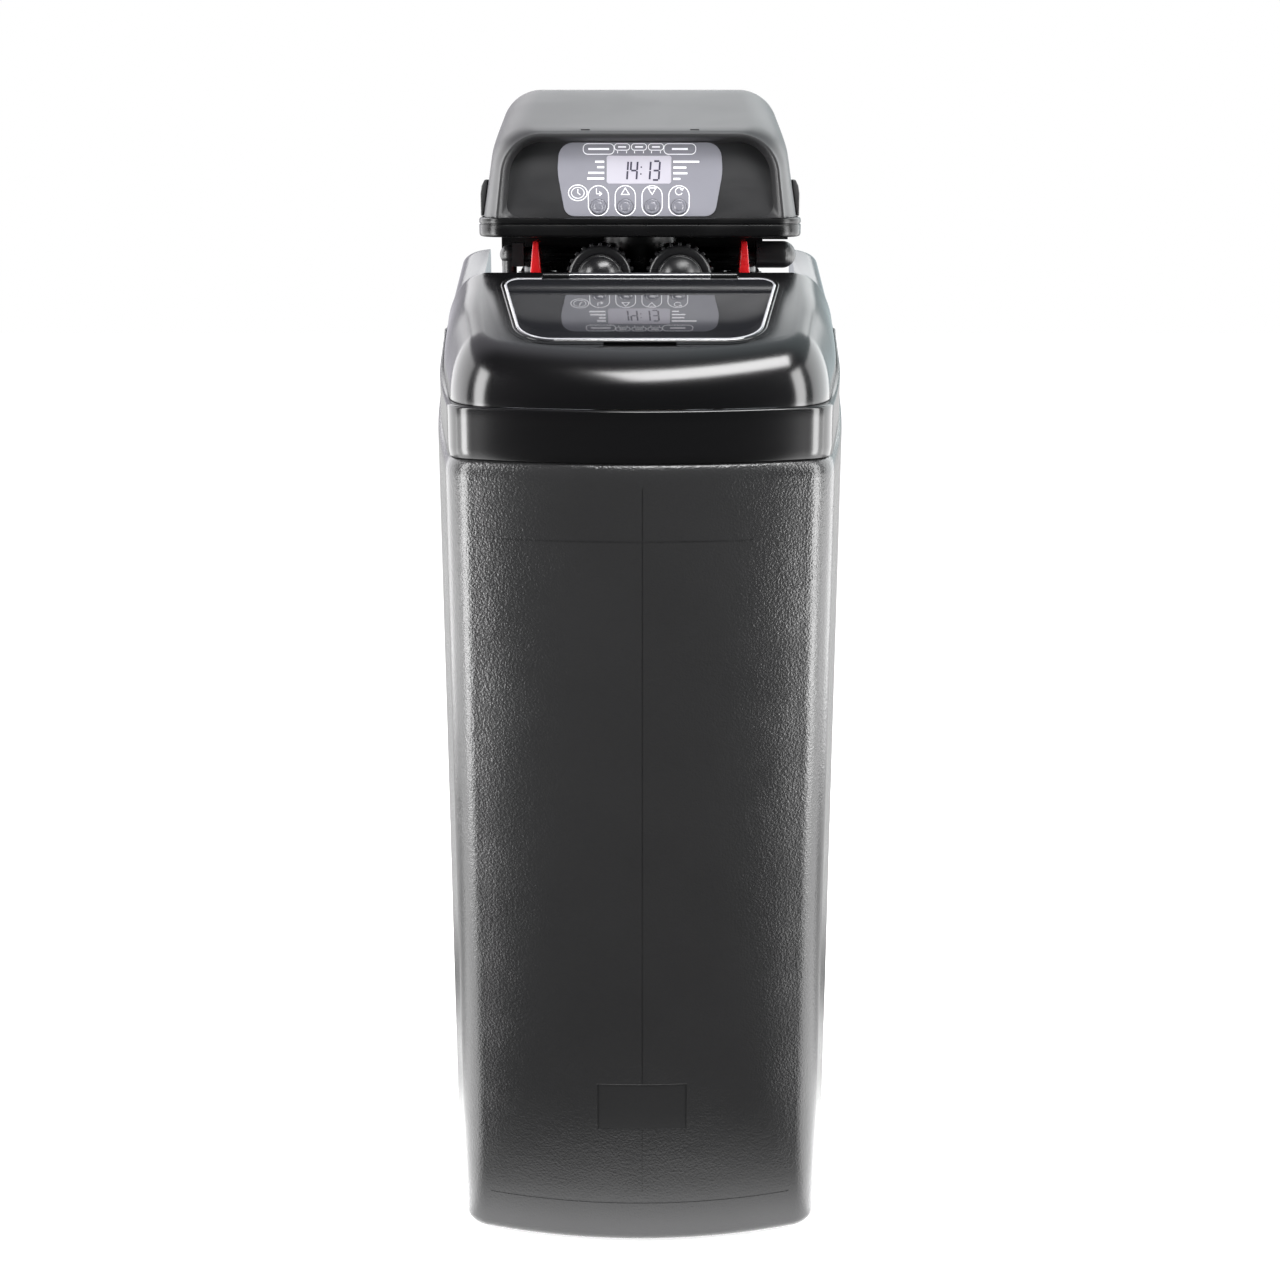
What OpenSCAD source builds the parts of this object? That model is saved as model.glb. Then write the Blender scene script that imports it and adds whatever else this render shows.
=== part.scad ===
// Cabinet water softener: a salt cabinet with a resin tank inside and a control valve under a hood.
// Millimetres, +Z up, the front faces -Y, the origin is on the floor under the middle of the cabinet.

/* [Cabinet] */
// Greatest width of the cabinet
body_w = 400; // [380:1:430]
// Depth of the cabinet
body_d = 480; // [470:1:520]
// Height of the cabinet's rim at the front
rim_front_z = 803; // [780:1:820]
// Rise of the rim from the front to the rear
rim_rise = 67; // [60:1:75]
// Thickness of the cabinet's wall
wall = 4.5; // [3:0.5:6]
// Thickness of the cabinet's floor
floor_t = 5; // [4:0.5:8]
// Inward draft of each side from the rim to the floor
draft = 4; // [0:0.5:8]
// Radius of the rounded lower edge
foot_r = 14; // [10:1:24]
// Radius of the rounded shoulder under the collar
shoulder_r = 9; // [6:0.5:10]
// Height of the neck inside the collar
neck_h = 9; // [6:0.5:9]
// Thickness of the neck
neck_t = 4; // [3:0.5:6]
// Radius of the bowed front
bow_r = 480; // [420:10:700]
// Half length of the bowed stretch of the front
bow_half = 150; // [130:1:155]
// How much narrower each side is at the front corner
front_taper = 19; // [10:1:24]
// Depth of the tapered stretch behind the front
taper_d = 145; // [130:1:160]
// Radius of the front corners
front_r = 38; // [30:1:42]
// Radius that blends the tapered stretch into the side
side_r = 300; // [200:10:400]
// Radius of the rear corners
rear_r = 40; // [30:1:50]

/* [Collar and deck] */
// Height of the glossy band at the front
band_h = 48.5; // [44:0.5:56]
// Inset of the collar from the cabinet's outline
cover_in = 3; // [2:0.5:4]
// Thickness of the collar and of the rear deck
cover_t = 3.5; // [2.5:0.5:4]
// Width of the ledge that carries the lid
ledge_w = 27; // [22:1:32]
// Depth of the skirt inside the ledge
ledge_skirt = 12; // [8:1:14]
// Distance of the deck's front edge behind the cabinet's front
deck_back = 215; // [210:1:220]
// Height of the deck's rear edge
deck_z = 972; // [966:1:976]
// Slope of the deck's shoulders, in degrees
deck_slope = 14; // [12:0.5:15]
// Radius of the deck's upper edge
deck_r = 10; // [6:1:14]
// Width of each shoulder beside the valve's well
deck_side = 29; // [26:0.5:31]
// Height of the well's floor
well_z = 902; // [900:0.5:904]
// Depth of the open notch behind the well's floor
well_notch = 84; // [70:1:90]
// Radius of the hole for the tank's neck
neck_hole_r = 66; // [62:1:72]

/* [Salt lid and window] */
// Inset of the lid from the cabinet's outline
lid_in = 7; // [6:0.5:9]
// Thickness of the lid's skin
lid_t = 3.5; // [3:0.5:4]
// Height of the lid's rear edge
lid_rear_z = 963; // [958:1:966]
// Slope of the lid's top, in degrees
lid_slope = 19.5; // [18:0.5:21]
// Width of the lid's rounded shoulder
lid_round = 35; // [30:1:38]
// Radius of the lid's front corners
lid_front_r = 62; // [56:1:66]
// Half width of the window flap at the rear
flap_rear_half = 137; // [125:1:142]
// Half width of the window flap at the front
flap_front_half = 112; // [100:1:116]
// Distance from the lid's rear edge to the flap's rear edge
flap_start = 20; // [19:0.5:24]
// Length of the window flap down the slope
flap_len = 141; // [125:1:144]
// Thickness of the window flap
flap_t = 4; // [3.5:0.5:5]
// Height of the flap above the lid
flap_proud = 1; // [0.5:0.1:1.5]
// Width of the ledge under the flap's edge
flap_ledge = 8; // [6:1:10]
// Half length of the flap's hinge
hinge_half = 96; // [85:1:105]
// Half length of the flap's own knuckle
knuckle_half = 70; // [50:1:78]
// Outer radius of the hinge knuckles
knuckle_r = 3.6; // [3.2:0.1:3.8]
// Radius of the hinge pin
hinge_pin_r = 1.6; // [1.2:0.1:2]

/* [Resin tank] */
// Gap between the tank and the cabinet's walls
tank_gap = 15.5; // [12:0.5:22]
// Height of the tank's neck face
tank_top_z = 902; // [898:1:904]
// Distance of the tank's axis behind the middle of the cabinet
tank_y = 62; // [58:1:64]
// Thickness of the tank's wall
tank_t = 4; // [3:0.5:6]
// Height of the tank's domed ends
dome_h = 78; // [70:1:90]
// Outer radius of the tank's neck
tank_neck_r = 50; // [44:1:54]
// Height of the tank's neck
tank_neck_h = 34; // [30:1:40]
// Radius of the neck's bore
neck_bore_r = 31.6; // [31:0.1:34]
// Height of the tank's boot
boot_h = 70; // [60:1:84]
// Thickness of the boot
boot_t = 3; // [2:0.5:4]
// Radius of the riser tube
riser_r = 13.35; // [12:0.05:14]
// Thickness of the riser tube
riser_t = 2; // [1.5:0.1:3]
// Depth of the resin bed
resin_h = 560; // [400:10:620]

/* [Brine side] */
// Place of the brine well's axis across the cabinet
brine_x = 95; // [85:1:105]
// Distance of the brine well's axis behind the cabinet's front
brine_back = 108; // [100:1:112]
// Outer radius of the brine well
brine_r = 45; // [42:1:48]
// Thickness of the brine well
brine_t = 2.5; // [2:0.5:4]
// Height of the brine well's top
brine_top_z = 700; // [660:1:730]
// Radius of the pick-up tube
pickup_r = 6.3; // [5.5:0.1:7]
// Radius of the float
float_r = 19; // [15:0.5:20]
// Height of the float
float_h = 60; // [40:1:80]
// Height of the float's lower face
float_z = 330; // [250:5:420]
// Radius of the float's rod
float_rod_r = 2.5; // [2:0.1:3]
// Radius of the ball in the air check
ball_r = 5; // [4:0.1:5.5]
// Radius of the brine line
line_r = 4.75; // [4:0.05:5]
// Bend radius of the brine line
line_bend = 40; // [32:1:45]
// Height of the brine line's level run
line_z = 888; // [884:1:890]
// Radius of the overflow spigot
overflow_r = 6.5; // [6:0.1:8]
// Reach of the overflow's elbow behind its flange
overflow_reach = 22; // [18:1:30]
// Height of the overflow
overflow_z = 690; // [600:5:740]
// Place of the overflow across the cabinet
overflow_x = 110; // [80:5:130]

/* [Control valve] */
// Outer radius of the valve's barrel
barrel_r = 27; // [25:0.5:28]
// Radius of the barrel's bore
bore_r = 18.5; // [17:0.1:18.8]
// Height of the valve's top face
valve_top_z = 994.8; // [990:0.1:996]
// Distance from the valve's middle to each front chamber
chamber_x = 40.5; // [40:0.5:44]
// Height of the front chambers
chamber_z = 954; // [953:0.5:958]
// Outer radius of the front chambers
chamber_r = 29; // [27:0.5:30]
// Radius of the chambers' bore
chamber_bore_r = 18.5; // [17:0.1:18.6]
// Outer radius of the toothed cap nuts
nut_r = 35; // [34:0.5:37]
// Length of the cap nuts
nut_len = 22; // [18:1:26]
// Teeth round each cap nut
nut_teeth = 24; // [12:1:30]
// Radius of the domed end caps
dome_r = 23.3; // [20:0.1:24]
// Place of the nuts' front face
nut_front_y = 2; // [0:0.5:5]
// Radius of the piston
piston_r = 13.5; // [12:0.1:14]
// Radius of the piston's rod
rod_r = 6; // [5:0.1:6.5]

/* [Bypass] */
// Distance of each bypass valve inside the end of its side arm
bypass_in = 15; // [12:1:17]
// Place of the bypass rotors along the cabinet
bypass_y = 48; // [46:1:50]
// Height of the bypass arms
bypass_z = 942; // [941:0.5:943]
// Outer radius of the rotor housings
housing_r = 19; // [18:0.5:20]
// Radius of the bypass rotors
rotor_r = 14; // [12:0.1:15]
// Height of the housings' top
housing_top_z = 957; // [956:0.5:959]
// Height of the red handles' top
handle_top_z = 989; // [984:0.5:991]
// Length of the red handles
handle_len = 48; // [40:1:52]
// Thickness of a handle at its foot
handle_foot = 11; // [8:0.5:13]
// Thickness of a handle at its tip
handle_tip = 5; // [4:0.5:6]
// Radius of the threaded pipe ends
pipe_r = 16.6; // [15:0.1:17]
// Length of the threaded pipe ends
pipe_len = 30; // [24:1:36]
// Outer radius of the union nuts
union_r = 24; // [22:0.5:26]
// Place of the drain and brine arms along the cabinet
arm_y = 92; // [90:1:96]
// Height of the drain and brine arms
arm_z = 972; // [970:0.5:974]
// Radius of the drain spigot
drain_r = 6.6; // [6:0.1:8]

/* [Drive] */
// Gear module
gear_m = 1; // [1:0.05:1.1]
// Teeth of the drive gear
drive_teeth = 72; // [66:6:72]
// Teeth of the large wheel of the reduction gear
reduction_teeth = 54; // [48:6:60]
// Teeth of the small pinions
pinion_teeth = 18; // [18:1:20]
// Width of the drive gear
drive_face = 10; // [8:0.5:10]
// Width of the motor pinion
pinion_face = 7; // [5:0.5:8]
// Radius of the motor
motor_r = 18; // [14:0.5:20]
// Length of the motor
motor_len = 34; // [26:1:38]
// Radius of the gear stud
stud_r = 3; // [2.5:0.1:4]

/* [Hood and panel] */
// Width of the hood's base
base_w = 326; // [322:1:330]
// Depth of the hood's base
base_d = 184; // [182:1:190]
// Distance of the hanging apron from the tray's rear edge
apron_back = 50; // [46:1:52]
// Inward lean of the brow's sides from the seat to the top
brow_lean = 10; // [6:1:12]
// Place of the base's front edge
base_front_y = -12; // [-14:0.5:-10]
// Underside of the hood's base
base_z = 995; // [995:0.1:997]
// Height of the base's rim
base_h = 19; // [17:0.5:20]
// Width of the base's rim
base_rim = 6; // [5:0.5:7]
// Thickness of the base's floor
base_t = 3; // [2.5:0.1:3.2]
// Height of the hood's top above its seat
hood_h = 126; // [118:1:132]
// Height of the brow above the hood's seat
brow_h = 83; // [80:1:86]
// Thickness of the hood
hood_t = 3; // [2:0.5:4]
// Width of the brow round the recessed face
brow_w = 6; // [5:0.5:8]
// Backward lean of the face, in degrees
face_lean = 10; // [8:0.5:12]
// Thickness of the face plate
face_t = 3; // [2.5:0.1:4]
// Thickness of the grey panel
panel_t = 0.8; // [0.5:0.1:1]
// Width of the display
lcd_w = 66; // [56:1:68]
// Height of the display
lcd_h = 28.5; // [22:0.5:29]
// Radius of the buttons
button_r = 7.6; // [6:0.1:8]
// Distance between the buttons
button_step = 27; // [24:0.1:28]
// Height of the buttons' row on the face
button_v = 10.5; // [10.5:0.5:13]
// Travel of a button
button_travel = 1.2; // [0.8:0.1:1.4]

/* [Clearances] */
// Gap between seated pieces
seat_gap = 0.3; // [0.2:0.05:0.4]
// Radial clearance of running pins and shafts
run_gap = 0.05; // [0.02:0.01:0.08]
// Gap round pieces that swing or slide freely
free_gap = 0.6; // [0.4:0.1:0.8]

/* [Hidden] */
$fn = 64;
front_y = -body_d / 2;
deck_front_y = front_y + deck_back;
lid_rear_y = deck_front_y - 2;
ramp_start_y = front_y + 35;
ramp_end_y = deck_front_y - 15;
rim_rear_z = rim_front_z + rim_rise;
ledge_front_z = rim_front_z + band_h;
deck_rear_y = body_d / 2 - cover_in;
function deck_top_z(y) = deck_z - (deck_rear_y - y) * tan(deck_slope);
ledge_rear_z = deck_top_z(deck_front_y);
seat_z = base_z + base_h + seat_gap;
face_y = base_front_y + 11;
tank_foot_z = floor_t + boot_t + 2 * seat_gap;
tank_side_z = tank_foot_z + dome_h;
tank_shoulder_z = tank_top_z - tank_neck_h - dome_h;
stub_r = neck_bore_r - seat_gap;
stub_z = tank_top_z - 30;
flange_z = tank_top_z + seat_gap;
chamber_front_y = nut_front_y + 4;
chamber_len = 98;
chamber_deep = 80;
chamber_floor_y = chamber_front_y + chamber_deep;
gear_gap = 0.05;
addendum = 0.9;
dedendum = 1.15;
tooth_play = 0.1;
drive_pitch_r = gear_m * drive_teeth / 2;
reduction_pitch_r = gear_m * reduction_teeth / 2;
pinion_pitch_r = gear_m * pinion_teeth / 2;
stud_x = drive_pitch_r + pinion_pitch_r + gear_gap;
motor_x = stud_x + reduction_pitch_r + pinion_pitch_r + gear_gap;
cap_disc_z = valve_top_z + seat_gap;
cap_disc_h = 8;
gear_z = cap_disc_z + cap_disc_h + seat_gap;
wheel_z = gear_z + drive_face + seat_gap;
plate_z = wheel_z + pinion_face + 3;
plate_t = 3;
piston_z = stub_z + 40;
piston_len = 45;
button_x = [for (k = [0:3]) button_step * (k - 1.5) - 1.3];
lcd_v = 33;
lcd_x = -1;
board_back = 16;
well_w = body_w - 2 * cover_in - 2 * deck_side;
arm_end_x = well_w / 2 - 46;
line_end_x = -arm_end_x - 16;
bypass_x = arm_end_x - bypass_in;
tank_r = min(body_w / 2, body_d / 2 - tank_y) - draft - wall - tank_gap;
brine_y = front_y + brine_back;
tail_front_y = 150;
axis_u = flap_start - 4.5;

// Outline functions: a polygon is a list of corners, anticlockwise, each with a radius and a segment count.
// A corner with no segments stays a plain point.
function unit(v) = v / norm(v);
function left_of(v) = [-v.y, v.x];
function moved_corner(a, b, c, e) =
    let (n1 = left_of(unit(b - a)), n2 = left_of(unit(c - b))) b + e * (n1 + n2) / (1 + n1 * n2);
function inset(v, e) =
    let (n = len(v)) [for (i = [0:n - 1]) moved_corner(v[(i + n - 1) % n], v[i], v[(i + 1) % n], e)];
function corner_arc(a, b, c, r, n) = n == 0 ? [b] :
    let (u = unit(a - b), w = unit(c - b), half = acos(u * w) / 2)
    let (m = b + unit(u + w) * r / sin(half), s = b + u * r / tan(half) - m, start = atan2(s.y, s.x))
    [for (k = [0:n]) let (t = start + (180 - 2 * half) * k / n) m + r * [cos(t), sin(t)]];
function rounded(v, radii, counts) =
    let (n = len(v))
    [for (i = [0:n - 1]) each corner_arc(v[(i + n - 1) % n], v[i], v[(i + 1) % n], radii[i], counts[i])];
function ease(y, y0, y1) = let (s = min(1, max(0, (y - y0) / (y1 - y0)))) s * s;

// Plan of the cabinet: bowed front, tapered front corners, straight sides and rear.
// The plain points on the tapers and the sides let the rim and the ledge follow their curve.
corner_x = body_w / 2 - front_taper;
function corner_y(half) =
    let (angle = asin(half / bow_r)) front_y + bow_r * (1 - cos(angle)) + (corner_x - half) * tan(angle);
side_y = front_y + taper_d;
blend_y = side_y + side_r * tan(atan(front_taper / (side_y - corner_y(bow_half))) / 2);
function mirrored(right) = [for (i = [len(right) - 1:-1:0]) [-right[i].x, right[i].y]];
function reversed(list) = [for (i = [len(list) - 1:-1:0]) list[i]];
function outline(taper_stops, stop_y, rear_y, half) =
    let (low = corner_y(half))
    let (tapers = [for (f = taper_stops) [corner_x + front_taper * f, low + (side_y - low) * f]])
    let (stops = [for (k = [1:3]) [body_w / 2, blend_y + (stop_y - blend_y) * k / 3]])
    let (right = concat([[corner_x, low]], tapers, [[body_w / 2, side_y]], stops,
        [[body_w / 2, rear_y]]))
    concat([[0, front_y + bow_r - bow_r / cos(asin(half / bow_r))]], right, mirrored(right));
function outline_radii(e, front, rear) =
    let (right = [max(4, front - e), 0, 0, 0, 0, side_r - e, 0, 0, 0, rear])
    concat([bow_r - e], right, reversed(right));
side_counts = [8, 0, 0, 0, 0, 3, 0, 0, 0, 7];
plan_counts = concat([12], side_counts, reversed(side_counts));
rear_corner = len(side_counts);
plan = outline([0.28, 0.42, 0.56, 0.7], deck_front_y, body_d / 2, bow_half);
function plan_ring(e, height) =
    [for (p = rounded(inset(plan, e), outline_radii(e, front_r, max(4, rear_r - e)), plan_counts))
        [p.x, p.y, height(p.y)]];

// Heights along the side of the cabinet.
function rim_z(y) = rim_front_z + rim_rise * ease(y, ramp_start_y, ramp_end_y);
function ledge_z(y) =
    ledge_front_z + (ledge_rear_z - ledge_front_z) * ease(y, ramp_start_y, deck_front_y);
function lid_top_z(y) = lid_rear_z + tan(lid_slope) * (y - lid_rear_y);
function rear_in(z) = draft * (1 - (z - foot_r) / (rim_rear_z - shoulder_r - foot_r));

// A closed skin through rings of points, flat at both ends.
module loft(rings) {
    n = len(rings[0]);
    m = len(rings);
    sides = [for (i = [0:m - 2]) for (j = [0:n - 1])
        let (a = i * n + j, b = i * n + (j + 1) % n) each [[a, a + n, b + n], [a, b + n, b]]];
    low = [[for (j = [0:n - 1]) j]];
    high = [[for (j = [n - 1:-1:0]) (m - 1) * n + j]];
    polyhedron([for (r = rings) each r], concat(low, sides, high), convexity = 8);
}

// A closed skin through rings of points, the last ring joined to the first.
module loft_loop(rings) {
    n = len(rings[0]);
    m = len(rings);
    faces = [for (i = [0:m - 1]) for (j = [0:n - 1])
        let (a = i * n + j, b = i * n + (j + 1) % n, c = ((i + 1) % m) * n + j)
        let (d = ((i + 1) % m) * n + (j + 1) % n) each [[a, c, d], [a, d, b]]];
    polyhedron([for (r = rings) each r], faces, convexity = 8);
}

// Places: on the lid's slope (x, distance up the slope, height) and on the leaning face (x, up, outward).
module on_slope() { translate([0, lid_rear_y, lid_rear_z]) rotate([lid_slope, 0, 0]) children(); }
module on_face() { translate([0, face_y, seat_z]) rotate([90 - face_lean, 0, 0]) children(); }
module on_tank_axis() { translate([0, tank_y, 0]) children(); }
module on_brine_axis() { translate([brine_x, brine_y, 0]) children(); }
module along_y(x, y, z, r, len) { translate([x, y, z]) rotate([-90, 0, 0]) cylinder(r = r, h = len); }
module along_x(x, y, z, r, len) { translate([x, y, z]) rotate([0, 90, 0]) cylinder(r = r, h = len); }
module both_sides() { children(); mirror([1, 0, 0]) children(); }
module tube(r, t, h) {
    difference() {
        cylinder(r = r, h = h);
        translate([0, 0, -1]) cylinder(r = r - t, h = h + 2);
    }
}

// Cabinet: outside from the floor up to the neck, then the inside down to the floor.
module cabinet_shell() {
    inner_r = foot_r - wall;
    outside = [for (t = [90, 68, 45, 22, 0])
        plan_ring(draft + foot_r * (1 - cos(t)), function(y) foot_r * (1 - sin(t)))];
    shoulder = [for (t = [0, 30, 60, 90])
        plan_ring(shoulder_r * (1 - cos(t)), function(y) rim_z(y) - shoulder_r * (1 - sin(t)))];
    neck = [
        plan_ring(shoulder_r + seat_gap, function(y) rim_z(y) + neck_h),
        plan_ring(shoulder_r + neck_t, function(y) rim_z(y) + neck_h),
        plan_ring(shoulder_r + neck_t, function(y) rim_z(y) - shoulder_r),
        plan_ring(wall, function(y) rim_z(y) - 2.5 * shoulder_r)
    ];
    inside = [for (t = [0, 22, 45, 68, 90])
        plan_ring(draft + wall + inner_r * (1 - cos(t)), function(y) floor_t + inner_r * (1 - sin(t)))];
    color("#3a3a3c") difference() {
        loft(concat(outside, shoulder, neck, inside));
        along_y(overflow_x, body_d / 2 - 30, overflow_z, overflow_r + 2 + seat_gap, 40);
    }
}

// Collar: the glossy band, its ledge for the lid and a skirt inside the ledge.
module front_collar() {
    lip = 2.5;
    inner = cover_in + ledge_w;
    rings = [
        plan_ring(cover_in, function(y) rim_z(y) - seat_gap),
        plan_ring(cover_in, function(y) ledge_z(y) - lip),
        plan_ring(cover_in + lip * 0.3, function(y) ledge_z(y) - lip * 0.3),
        plan_ring(cover_in + lip, function(y) ledge_z(y)),
        plan_ring(inner, function(y) ledge_z(y)),
        plan_ring(inner, function(y) ledge_z(y) - ledge_skirt),
        plan_ring(inner - cover_t, function(y) ledge_z(y) - ledge_skirt),
        plan_ring(inner - cover_t, function(y) ledge_z(y) - cover_t),
        plan_ring(cover_in + cover_t, function(y) ledge_z(y) - cover_t),
        plan_ring(cover_in + cover_t, function(y) rim_z(y) - seat_gap)
    ];
    color("#161617") difference() {
        loft_loop(rings);
        translate([-body_w, deck_front_y - seat_gap, 0]) cube([2 * body_w, body_d, 2 * deck_z]);
    }
}

// Rear deck: two hollow sloping shoulders with the valve's well between them, open to the rear for the pipes.
module rear_deck() {
    half = body_w / 2 - cover_in;
    corners = [[-half, deck_front_y], [half, deck_front_y], [half, deck_rear_y], [-half, deck_rear_y]];
    skirt_z = rim_rear_z - seat_gap;
    floor_z = well_z - cover_t;
    function deck_ring(e, height) =
        let (r = rear_r - cover_in - e)
        [for (p = rounded(inset(corners, e), [3, 3, r, r], [2, 2, 7, 7])) [p.x, p.y, height(p.y)]];
    function deck_rings(e, r, low) = concat([deck_ring(e, function(y) low)],
        [for (t = [0, 30, 60, 90])
            deck_ring(e + r * (1 - cos(t)), function(y) deck_top_z(y) - e - r * (1 - sin(t)))]);
    well_from = [-well_w / 2, deck_front_y - 1, well_z];
    wall = [cover_t, 0, cover_t];
    color("#19191b") difference() {
        loft(deck_rings(0, deck_r, skirt_z));
        difference() {
            loft(deck_rings(cover_t, deck_r - cover_t, skirt_z - 1));
            translate(well_from - wall) cube([well_w + 2 * cover_t, body_d, deck_z]);
        }
        translate(well_from) cube([well_w, body_d, deck_z]);
        translate([-well_w / 2 + 12, deck_rear_y - well_notch, skirt_z + 5])
            cube([well_w - 24, body_d, deck_z]);
        translate([-well_w / 2 + 12, deck_front_y - 1, skirt_z - 1])
            cube([well_w - 24, cover_t + 2, floor_z - skirt_z + 1]);
        translate([-half + cover_t, deck_front_y - 1, skirt_z - 1])
            cube([2 * (half - cover_t), cover_t + 2, neck_h + 2 + seat_gap]);
        translate([0, tank_y, skirt_z]) cylinder(r = neck_hole_r, h = 60);
        translate([line_end_x, arm_y, skirt_z]) rotate(line_heading) hull() {
            cylinder(r = line_r + 6, h = 60);
            translate([-line_bend * 0.35, 0, 0]) cylinder(r = line_r + 6, h = 60);
        }
    }
}

// Salt lid: a shell with rounded shoulders and a sloping top, open below, with a framed hole for the window.
flap_corners = [
    [-flap_front_half, -flap_start - flap_len], [flap_front_half, -flap_start - flap_len],
    [flap_rear_half, -flap_start], [-flap_rear_half, -flap_start]
];
function flap_outline(e) = rounded(inset(flap_corners, e), [38 - e, 38 - e, 16 - e, 16 - e], [8, 8, 5, 5]);
lid_rear_r = 6;
lid_gap = seat_gap + 0.2;
lid_bow_half = min(bow_half, corner_x - 0.625 * (lid_front_r + lid_in));
lid_plan = outline([0.46, 0.54, 0.62, 0.7], lid_rear_y - 2 * lid_rear_r - lid_t, body_d / 2, lid_bow_half);
function lid_corners(e, skin) =
    let (v = inset(lid_plan, lid_in + e))
    let (rear = lid_rear_y - skin - min(e - skin, 4))
    [for (i = [0:len(v) - 1]) (i == rear_corner || i == rear_corner + 1) ? [v[i].x, rear] : v[i]];
function lid_ring(e, height, skin = 0) =
    let (radii = outline_radii(lid_in + e, lid_front_r + lid_in, lid_rear_r))
    [for (p = rounded(lid_corners(e, skin), radii, plan_counts)) [p.x, p.y, height(p.y)]];
function lid_skin_z(y, w, drop) = (1 - w) * (ledge_z(y) + lid_gap) + w * (lid_top_z(y) - drop);

module salt_lid() {
    steps = [0, 15, 30, 45, 60, 75, 90];
    inside = [for (i = [6:-1:0]) let (t = steps[i])
        lid_ring(lid_t + lid_round * (1 - cos(t)), function(y) lid_skin_z(y, sin(t), lid_t), lid_t)];
    outside = [for (t = steps) lid_ring(lid_round * (1 - cos(t)), function(y) lid_skin_z(y, sin(t), 0))];
    frame_t = 4;
    rebate = flap_t - flap_proud + seat_gap;
    groove_half = knuckle_half + seat_gap;
    color("#121213") difference() {
        union() {
            loft(concat(inside, outside));
            on_slope() translate([0, 0, -rebate - frame_t]) linear_extrude(frame_t + 1)
                polygon(flap_outline(-flap_ledge));
            on_slope() both_sides()
                along_x(knuckle_half + seat_gap, -axis_u, flap_proud, knuckle_r, hinge_half - knuckle_half);
        }
        on_slope() translate([0, 0, -rebate]) linear_extrude(20) polygon(flap_outline(-free_gap));
        on_slope() translate([0, 0, -40]) linear_extrude(60) polygon(flap_outline(flap_ledge));
        on_slope() translate([-groove_half, -axis_u - knuckle_r - free_gap, -rebate - frame_t - 1])
            cube([2 * groove_half, 2 * knuckle_r + 2 * free_gap, 30]);
        on_slope() along_x(-hinge_half - 1, -axis_u, flap_proud, hinge_pin_r + run_gap, 2 * hinge_half + 2);
        on_slope() along_x(-34, -flap_start - flap_len - 4, 11, 14, 68);
    }
}

// Window flap: a smoked plate with a raised edge and its own knuckle.
module window_flap() {
    web = flap_start - axis_u;
    color("#26262a", 0.85) on_slope() difference() {
        union() {
            translate([0, 0, flap_proud - flap_t]) linear_extrude(flap_t) polygon(flap_outline(0));
            along_x(-knuckle_half, -axis_u, flap_proud, knuckle_r, 2 * knuckle_half);
            translate([-knuckle_half, -axis_u - web - 2, flap_proud - 2])
                cube([2 * knuckle_half, web + 2, 2]);
        }
        along_x(-hinge_half, -axis_u, flap_proud, hinge_pin_r + run_gap, 2 * hinge_half);
        both_sides() translate([knuckle_half, -flap_start - 0.5, -20])
            cube([hinge_half - knuckle_half + free_gap, 20, 40]);
    }
}

module flap_hinge_pin() {
    half = hinge_half - 0.5;
    color("silver") on_slope() along_x(-half, -axis_u, flap_proud, hinge_pin_r, 2 * half);
}

// Overflow at the rear: a spigot turned down, with a flange and a gasket against the wall.
overflow_wall_y = body_d / 2 - rear_in(overflow_z);
module overflow_elbow() {
    out = overflow_wall_y + 3 + 2 * seat_gap;
    shoulder = overflow_r + 3.5;
    color("#1c1c1e") difference() {
        union() {
            along_y(overflow_x, overflow_wall_y - 16, overflow_z, overflow_r + 2, out - overflow_wall_y + 16);
            along_y(overflow_x, out, overflow_z, overflow_r + 9, 3);
            along_y(overflow_x, out, overflow_z, overflow_r + 2, overflow_reach);
            translate([overflow_x, out + overflow_reach, overflow_z]) sphere(r = overflow_r + 2);
            translate([overflow_x, out + overflow_reach, overflow_z - shoulder])
                cylinder(r = overflow_r + 2, h = shoulder);
            translate([overflow_x, out + overflow_reach, overflow_z - shoulder - 30])
                cylinder(r = overflow_r, h = shoulder + 30);
        }
        along_y(overflow_x, overflow_wall_y - 20, overflow_z, overflow_r - 2,
            out - overflow_wall_y + 20 + overflow_reach);
        translate([overflow_x, out + overflow_reach, overflow_z - shoulder - 35])
            cylinder(r = overflow_r - 2, h = shoulder + 35);
    }
}

module overflow_gasket() {
    color("#0c0c0c") difference() {
        along_y(overflow_x, overflow_wall_y + seat_gap, overflow_z, overflow_r + 8, 3);
        along_y(overflow_x, overflow_wall_y - 1, overflow_z, overflow_r + 2 + run_gap, 6);
    }
}

// Resin tank: a wound shell with elliptical ends and a threaded neck.
function tank_profile(r, h, low, high, neck, top) = concat(
    [for (k = [0:12]) let (t = -90 + 90 * k / 12) [r * cos(t), low + h * sin(t)]],
    [for (k = [0:9]) let (t = acos(neck / r) * k / 9) [r * cos(t), high + h * sin(t)]],
    [[neck, top], [0, top]]);

module resin_tank() {
    color("#b9b2a0") on_tank_axis() difference() {
        rotate_extrude() polygon(tank_profile(tank_r, dome_h, tank_side_z, tank_shoulder_z,
            tank_neck_r, tank_top_z));
        rotate_extrude() polygon(tank_profile(tank_r - tank_t, dome_h - tank_t, tank_side_z, tank_shoulder_z,
            neck_bore_r, tank_top_z + 1));
    }
}

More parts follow.
